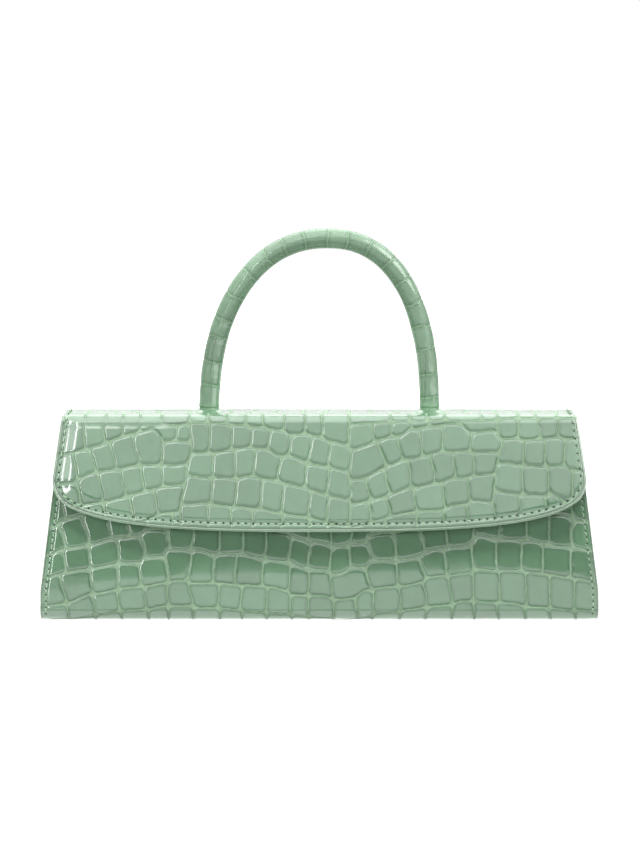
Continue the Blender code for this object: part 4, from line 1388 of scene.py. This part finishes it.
def gusset(side, place, seed):
    """A tray: its rim lies inside the wrap's edge and turns round into a recessed panel."""
    tall, wide, fan, turned = 170, 104, 10, 6
    corners = wall_corners(GUSSET_DEPTH + GUSSET_ROUND)
    _, low_front, low_back, _ = corners
    panel = patch(corners, tall + 1, wide + 1)
    # The panel's edge as (place, outward turn, point number), with a fan at both low corners
    grid = np.arange((tall + 1) * (wide + 1)).reshape(tall + 1, wide + 1)
    ring = [(panel[k, 0], FRONT_TURN, grid[k, 0]) for k in range(tall)]
    for t in range(fan):
        ring.append((low_front, FRONT_TURN + (270 - FRONT_TURN) * t / fan, grid[tall, 0]))
    ring += [(panel[tall, k], 270.0, grid[tall, k]) for k in range(wide + 1)]
    for t in range(1, fan):
        ring.append((low_back, 270 + (90 + BACK_TURN) * t / fan, grid[tall, wide]))
    ring += [(panel[k, wide], 360 + BACK_TURN, grid[k, wide]) for k in range(tall, -1, -1)]
    edge = np.array([p for p, _, _ in ring])
    way = np.array([direction(t) for _, t, _ in ring])

    # Steps from the panel round its bend and out along its wall
    turns = np.linspace(0, math.pi / 2, turned + 1)[1:]
    reach = np.concatenate([GUSSET_ROUND * np.sin(turns), np.full(turned, GUSSET_ROUND)])
    wall = np.linspace(GUSSET_RECESS - GUSSET_ROUND, 0, turned + 1)[1:]
    deep = np.concatenate([GUSSET_RECESS - GUSSET_ROUND * (1 - np.cos(turns)), wall])
    tilts = np.concatenate([turns, np.full(turned, math.pi / 2)])
    flat = panel.reshape(-1, 2)

    def each_point(inside, steps):
        return np.concatenate([np.full(len(flat), inside), np.repeat(steps, len(ring))])

    where = np.concatenate([flat] + [edge + way * r for r in reach])
    tilt = each_point(0.0, tilts)[:, None]
    facing = np.concatenate([np.zeros_like(flat), np.tile(way, (len(reach), 1))])
    out = np.column_stack([np.cos(tilt) * side, -facing * np.sin(tilt)])
    x = side * (half_width(where[:, 1]) - each_point(GUSSET_RECESS, deep))
    base = np.column_stack([x, where])

    rings = [np.array([number for _, _, number in ring])]
    rings += [len(flat) + k * len(ring) + np.arange(len(ring)) for k in range(len(reach))]
    faces = grid_quads(grid, turned=True).tolist()
    for near, far in zip(rings, rings[1:]):
        for k in range(len(ring) - 1):
            loop = [int(near[k]), int(far[k]), int(far[k + 1]), int(near[k + 1])]
            faces.append(loop if loop[0] != loop[3] else loop[:3])
    if side < 0:
        faces = [loop[::-1] for loop in faces]

    past = each_point(0.0, reach + GUSSET_RECESS - deep) / MM
    across, up = side * where[:, 0] / MM, where[:, 1] / MM
    sides = zip(corners, corners[1:])
    to_edge = np.min([np.abs(np.cross(q - p, where - p)) / math.dist(p, q) for p, q in sides], 0) / MM
    fade = np.where(past > 0, 0.30, 0.30 + 0.70 * ease(to_edge, 0.5, 5.0))
    height, leather = relief(across, up + past, grown(-14, 104, (-24, 9), seed), seed, fade)
    dip = -0.9 * ease(to_edge, 2, 22) + 0.25 * noise(across / 24, up / 24, seed)
    height = height + np.where(past > 0, 0, dip)
    skin = np.column_stack([across + past, up, np.full_like(up, seed)])
    facts = {"leather": leather, "seam": quiet(height.shape), "skin": skin}
    made = thickened(f"{place}_gusset", base, faces, out, LEATHER, LEATHER_LOOK, height * MM, facts)
    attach(made, "bag_body")
    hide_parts(f"gusset_{place}")


def cloth_facts(x, s):
    return {"skin": skin_facts(x, s)}


def plain_facts(x, s):
    """Facts for smooth leather: no scales."""
    leather = np.broadcast_to((FAR, 0.0, 0.0), (*x.shape, 3))
    return {"leather": leather, "seam": quiet(x.shape), "skin": skin_facts(x, s, 70.0)}


def liner(name, runs, depth, width_at, look=TWILL_LOOK, thickness=LINING, facts=cloth_facts):
    """A sheet along a profile of the bag, at a depth inside it."""
    points, out, run = profile(*runs)
    x = width_at(points)[:, None] * np.linspace(-1, 1, 70)
    base, normal = lofted(points - out * depth, out, x)
    s = rowwise(run / MM, x)
    height = LINER_RIPPLE * noise(x / 0.022, s / 19, 91)
    return shell(name, base, normal, thickness, look, height, facts(x, s), (1, 6), roll=LINING_ROLL)


def inside_width(points):
    return half_width(points[:, 1]) - GUSSET_RECESS - LEATHER - GAP


def fold_width(points):
    """Wider over the roof than inside the gussets."""
    roof = ease(points[:, 1], BODY_HEIGHT - 4.5 * MM, BODY_HEIGHT - 0.5 * MM)
    return inside_width(points) * (1 - roof) + ROOF_LINING_WIDTH * roof


def pocket_width(points):
    return np.full(len(points), POCKET_WIDTH / 2)


def body_linings():
    front_way = (FRONT_LOW - FRONT_TOP) / math.dist(FRONT_LOW, FRONT_TOP)
    back_split = at_height(BACK_LOW, BACK_HIGH, LINING_SPLIT)
    made = liner("body_lining_cloth", (
        straight(FRONT_TOP + front_way * LINING_DROP, FRONT_LOW, 3 * MM),
        bend(FRONT_CORNER, BASE_RADIUS, FRONT_TURN, 270, 1.0 * MM),
        straight(FRONT_FLOOR, BACK_FLOOR, 3 * MM),
        bend(BACK_CORNER, BASE_RADIUS, -90, BACK_TURN, 1.0 * MM),
        straight(BACK_LOW, back_split, 3 * MM),
    ), LAYER, inside_width)
    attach(made, "bag_body")
    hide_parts("body_lining")

    made = liner("fold_lining_cloth", (
        straight(back_split, BACK_HIGH, 1.5 * MM),
        bend(BACK_FOLD, FOLD_RADIUS, BACK_TURN, 90, 0.4 * MM),
        straight(BACK_ROOF, np.array([ROOF_SPLIT, BODY_HEIGHT]), 1.0 * MM),
    ), LAYER, fold_width)
    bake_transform(made)

    facing = straight(FRONT_TOP, FRONT_TOP + front_way * FACING_DROP, 1 * MM)
    made = liner("front_mouth_facing", (facing,), LAYER, inside_width, LEATHER_LOOK, facts=plain_facts)
    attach(made, "bag_body")
    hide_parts("mouth_facing")


def pocket():
    low, mouth, high = (at_height(BACK_LOW, BACK_HIGH, z) for z in POCKET_HEIGHTS)
    panel = straight(low, high, 1.5 * MM)
    made = liner("slip_pocket", (panel,), LAYER + LINING + GAP, pocket_width)
    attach(made, "bag_body")
    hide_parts("pocket_panel")

    strip = straight(mouth, high, 0.7 * MM)
    depth = LAYER + 2 * LINING + 2 * GAP
    made = liner("pocket_mouth_binding", (strip,), depth, pocket_width, LEATHER_LOOK, BINDING, plain_facts)
    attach(made, "bag_body")
    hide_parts("pocket_binding")


def cloth(name, base, normal, height, facts, coarse):
    height = CLOTH_RIPPLE * height
    return shell(name, base, normal, LINING, TWILL_LOOK, height, facts, coarse, roll=LINING_ROLL)


def gusset_linings():
    panel = patch(wall_corners(LAYER + LINING + GAP + 0.15 * MM), 48, 30)
    y, z = panel[..., 0], panel[..., 1]
    for side, place in ((-1, "left"), (1, "right")):
        x = side * (half_width(z) - GUSSET_RECESS - LEATHER - GAP)
        base = np.concatenate([x[..., None], panel], -1)
        normal = np.broadcast_to((side, 0.0, 0.0), base.shape)
        height = noise(y / 0.018, z / 0.02, 95 + side)
        made = cloth(f"{place}_gusset_lining", base, normal, height, cloth_facts(y, z / MM), (4, 4))
        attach(made, "bag_body")
        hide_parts(f"gusset_lining_{place}")


def flap_lining():
    columns = 120
    points, out, run = profile(
        straight(np.array([ROOF_SPLIT - 0.2 * MM, BODY_HEIGHT]), FRONT_ROOF, 1.5 * MM),
        bend(FRONT_FOLD, FOLD_RADIUS, 90, LIP_TURN, 0.35 * MM),
    )
    # Rows are counted back from the fold's end, over which the lining hugs the leather
    row = np.arange(len(points)) - len(points)
    share = ease(row, -24.0, -1.0)
    inset = LAYER * (1 - share) + LIP_LAYER * share
    inset = inset - FOLD_HUG * ease(row, -22.0, -17.0) * (1 - ease(row, -4.0, -1.0))
    x = (ROOF_LINING_WIDTH + 1.4 * MM * share)[:, None] * np.linspace(-1, 1, columns)
    roof, roof_normal = lofted(points - out * inset[:, None], out, x)
    lip = lip_grid(40, columns, 1.3 * MM)[1:]
    base = np.concatenate([roof, on_lip(lip[..., 0], lip[..., 1], -LIP_LAYER)])
    normal = np.concatenate([roof_normal, np.broadcast_to(LIP_OUT, (*lip.shape[:2], 3))])
    s = np.concatenate([rowwise(LIP_START + (run[-1] - run) / MM, x), lip[..., 1] / MM])
    height = noise(base[..., 0] / 0.02, s / 17, 97)
    made = cloth("flap_lining_cloth", base, normal, height, cloth_facts(base[..., 0], s), (1, 6))
    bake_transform(made)
    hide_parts("roof_lining", "lip_lining")


def filler():
    """Three cords twisted together inside the handle."""
    keep = slice(16, -16, 2)
    route, run, up = (values[keep] for values in HANDLE_ROUTE)
    around, radius, lay, twist = 10, 1.5 * MM, 1.72 * MM, 0.021
    points, faces, skin = [], [], []
    for strand in range(3):
        phase = run / twist * 2 * math.pi + strand * 2 * math.pi / 3
        centre = route + lay * (np.cos(phase)[:, None] * up + np.sin(phase)[:, None] * FORWARD)
        faces += tube_faces(len(points), len(route), around)
        for k in range(len(route)):
            for turn in range(around):
                angle = 2 * math.pi * turn / around
                points.append(centre[k] + radius * (math.cos(angle) * up[k] + math.sin(angle) * FORWARD))
                skin.append((run[k] / MM, angle * 1.5, 9.0 * strand))
    look = cord_material()
    made = piece("handle_filler_cord", np.array(points), faces, look, {"skin": np.array(skin)}, sharp=70)
    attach(made, "flap")
    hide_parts("handle_core")


# Materials for the solids that stay

METAL_SOLIDS = (
    "snap_socket", "snap_socket_washer", "snap_stud", "snap_stud_washer",
    "handle_ferrule_left", "handle_ferrule_right",
    "anchor_washer_left", "anchor_washer_right", "anchor_screw_left", "anchor_screw_right",
)
BOARD_SOLIDS = ("front_board", "base_board", "back_board", "roof_board", "lip_stiffener")


def dress(nodes, look):
    for name in nodes:
        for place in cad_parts[name].material_slots:
            place.material = look


# Stage, camera and light

FLOOR_REACH = 4.0
FLOOR_GREY = (0.52, 0.52, 0.52, 1)
WHITE = (1, 1, 1, 1)
CAMERA_LENS = 164.4
CAMERA_TARGET = np.array([0.0003, 0.0, 0.0913])
CAMERA_RISE = math.radians(4.3)
CAMERA_DISTANCE = 1.9035


def floor():
    """White to the camera; to glossy rays it glows as a painted reflection light, brighter beside the bag
    and ahead of it on its right.
    """
    look = bpy.data.materials.new("white_floor")
    look.use_nodes = True
    tree = look.node_tree
    tree.nodes.clear()
    at = node(tree, "TexCoord", output="Object")
    across, along, _ = parts(tree, at)
    far = node(tree, "VectorMath", at, operation="LENGTH", output="Value")
    camera = node(tree, "LightPath", output="Is Camera Ray")
    gloss = node(tree, "LightPath", output="Is Glossy Ray")
    plain = far.step(0.35, 0.9) * 0.4 + 0.76
    # Painted reflection: the floor's glow to glossy rays, strongest beside the bag's line and ahead on its
    # right
    reflected_glow = abs(along).step(0.046, 0.070) * -3.2 + 4.0
    reflected_glow = reflected_glow + far.step(0.35, 0.6) * 1.8
    reflected_glow = reflected_glow + across.step(0.15, 0.60) * along.step(0.0, -0.30) * 6.5
    strength = gloss * (reflected_glow - plain) + plain
    glow = node(tree, "Emission", WHITE, maths(tree, "MAXIMUM", camera, gloss) * strength)
    matte = node(tree, "BsdfDiffuse", FLOOR_GREY)
    node(tree, "OutputMaterial", node(tree, "AddShader", glow, matte))
    mesh = bpy.data.meshes.new("floor")
    reach = FLOOR_REACH
    corners = [(-reach, -reach, 0), (reach, -reach, 0), (reach, reach, 0), (-reach, reach, 0)]
    mesh.from_pydata(corners, [], [(0, 1, 2, 3)])
    mesh.materials.append(look)
    placed("floor", mesh)


def aimed(name, data, place, target):
    """A light or camera that looks from a place at a target."""
    made = placed(name, data)
    made.location = place
    made.rotation_euler = Vector(np.subtract(target, place)).to_track_quat("-Z", "Y").to_euler()
    return made


def area_light(name, place, target, size, power):
    data = bpy.data.lights.new(name, "AREA")
    data.shape = "RECTANGLE"
    data.size, data.size_y = size
    data.energy = power
    return aimed(name, data, place, target)


def room():
    """White to the camera, soft grey to matte surfaces, and a studio front to gloss."""
    world = bpy.data.worlds.new("studio")
    bpy.context.scene.world = world
    world.use_nodes = True
    tree = world.node_tree
    tree.nodes.clear()
    way = node(tree, "TexCoord", output="Generated")
    x, y, z = parts(tree, way)
    left = x * -1.0
    camera = node(tree, "LightPath", output="Is Camera Ray")
    gloss = node(tree, "LightPath", output="Is Glossy Ray")

    # In front: a dark band, lower at both sides, then a window and a pane on the left
    dark = (abs(x).step(0.030, 0.055) * 0.016 + z).step(0.242, 0.2455) * z.step(0.312, 0.304)
    studio = dark * -3.2 + 3.3
    studio = studio + z.step(0.45, 0.57) * 3.6
    studio = studio + z.step(0.60, 0.98) * 1.2
    studio = studio + x.step(-0.02, 0.10) * z.step(0.304, 0.312) * 0.75
    window = left.between(0.036, 0.046, 0.24, 0.30) * z.between(0.45, 0.47, 0.62, 0.66)
    pane = left.between(0.13, 0.15, 0.50, 0.62) * z.between(0.345, 0.36, 0.45, 0.47)
    studio = studio + window * 4.4 + pane * 3.4

    # Behind, and at both sides
    back = z.step(0.14, 0.26) * 0.6 + 1.05
    back = back + z.step(0.45, 0.85) * 5.3
    around = y.step(-0.25, -0.45) * (studio - back) + back
    around = around + x.step(0.35, 0.80) * y.step(0.35, 0.0) * 3.0
    around = around + left.step(0.45, 0.80) * 0.5
    box = node(tree, "VectorMath", way, (0.69, -0.38, 0.61), operation="DOT_PRODUCT", output="Value")
    around = around + box.step(0.90, 0.985) * 11.0

    matte = x.step(0.3, 0.9) * 0.42 + 0.19
    matte = matte + y.step(0.05, 0.60) * 0.55
    strength = gloss * (around - matte) + matte
    strength = camera * (strength * -1.0 + 1.0) + strength
    node(tree, "OutputWorld", node(tree, "Background", WHITE, strength))


def camera():
    data = bpy.data.cameras.new("camera")
    data.lens = CAMERA_LENS
    data.sensor_fit = "VERTICAL"
    data.sensor_height = 36
    data.clip_end = 20
    away = np.array([0, -math.cos(CAMERA_RISE), math.sin(CAMERA_RISE)])
    place = CAMERA_TARGET + CAMERA_DISTANCE * away
    bpy.context.scene.camera = aimed("camera", data, place, CAMERA_TARGET)


front_leather()
flap_leather()
back_leather()
flap_stitches()
side_stitches()
handle()
gusset(-1, "left", 101)
gusset(1, "right", 131)
body_linings()
pocket()
gusset_linings()
flap_lining()
filler()
dress(METAL_SOLIDS, metal_material())
dress(BOARD_SOLIDS, board_material())
floor()
room()
camera()
area_light("key", (-0.10, -0.48, 2.0), (0, 0, 0.06), (0.9, 0.5), 35).visible_glossy = False
area_light("left_strip", (-0.34, -0.78, 0.36), (-0.08, 0, 0.07), (0.05, 0.35), 1.2)
bpy.context.scene.view_settings.view_transform = "Standard"
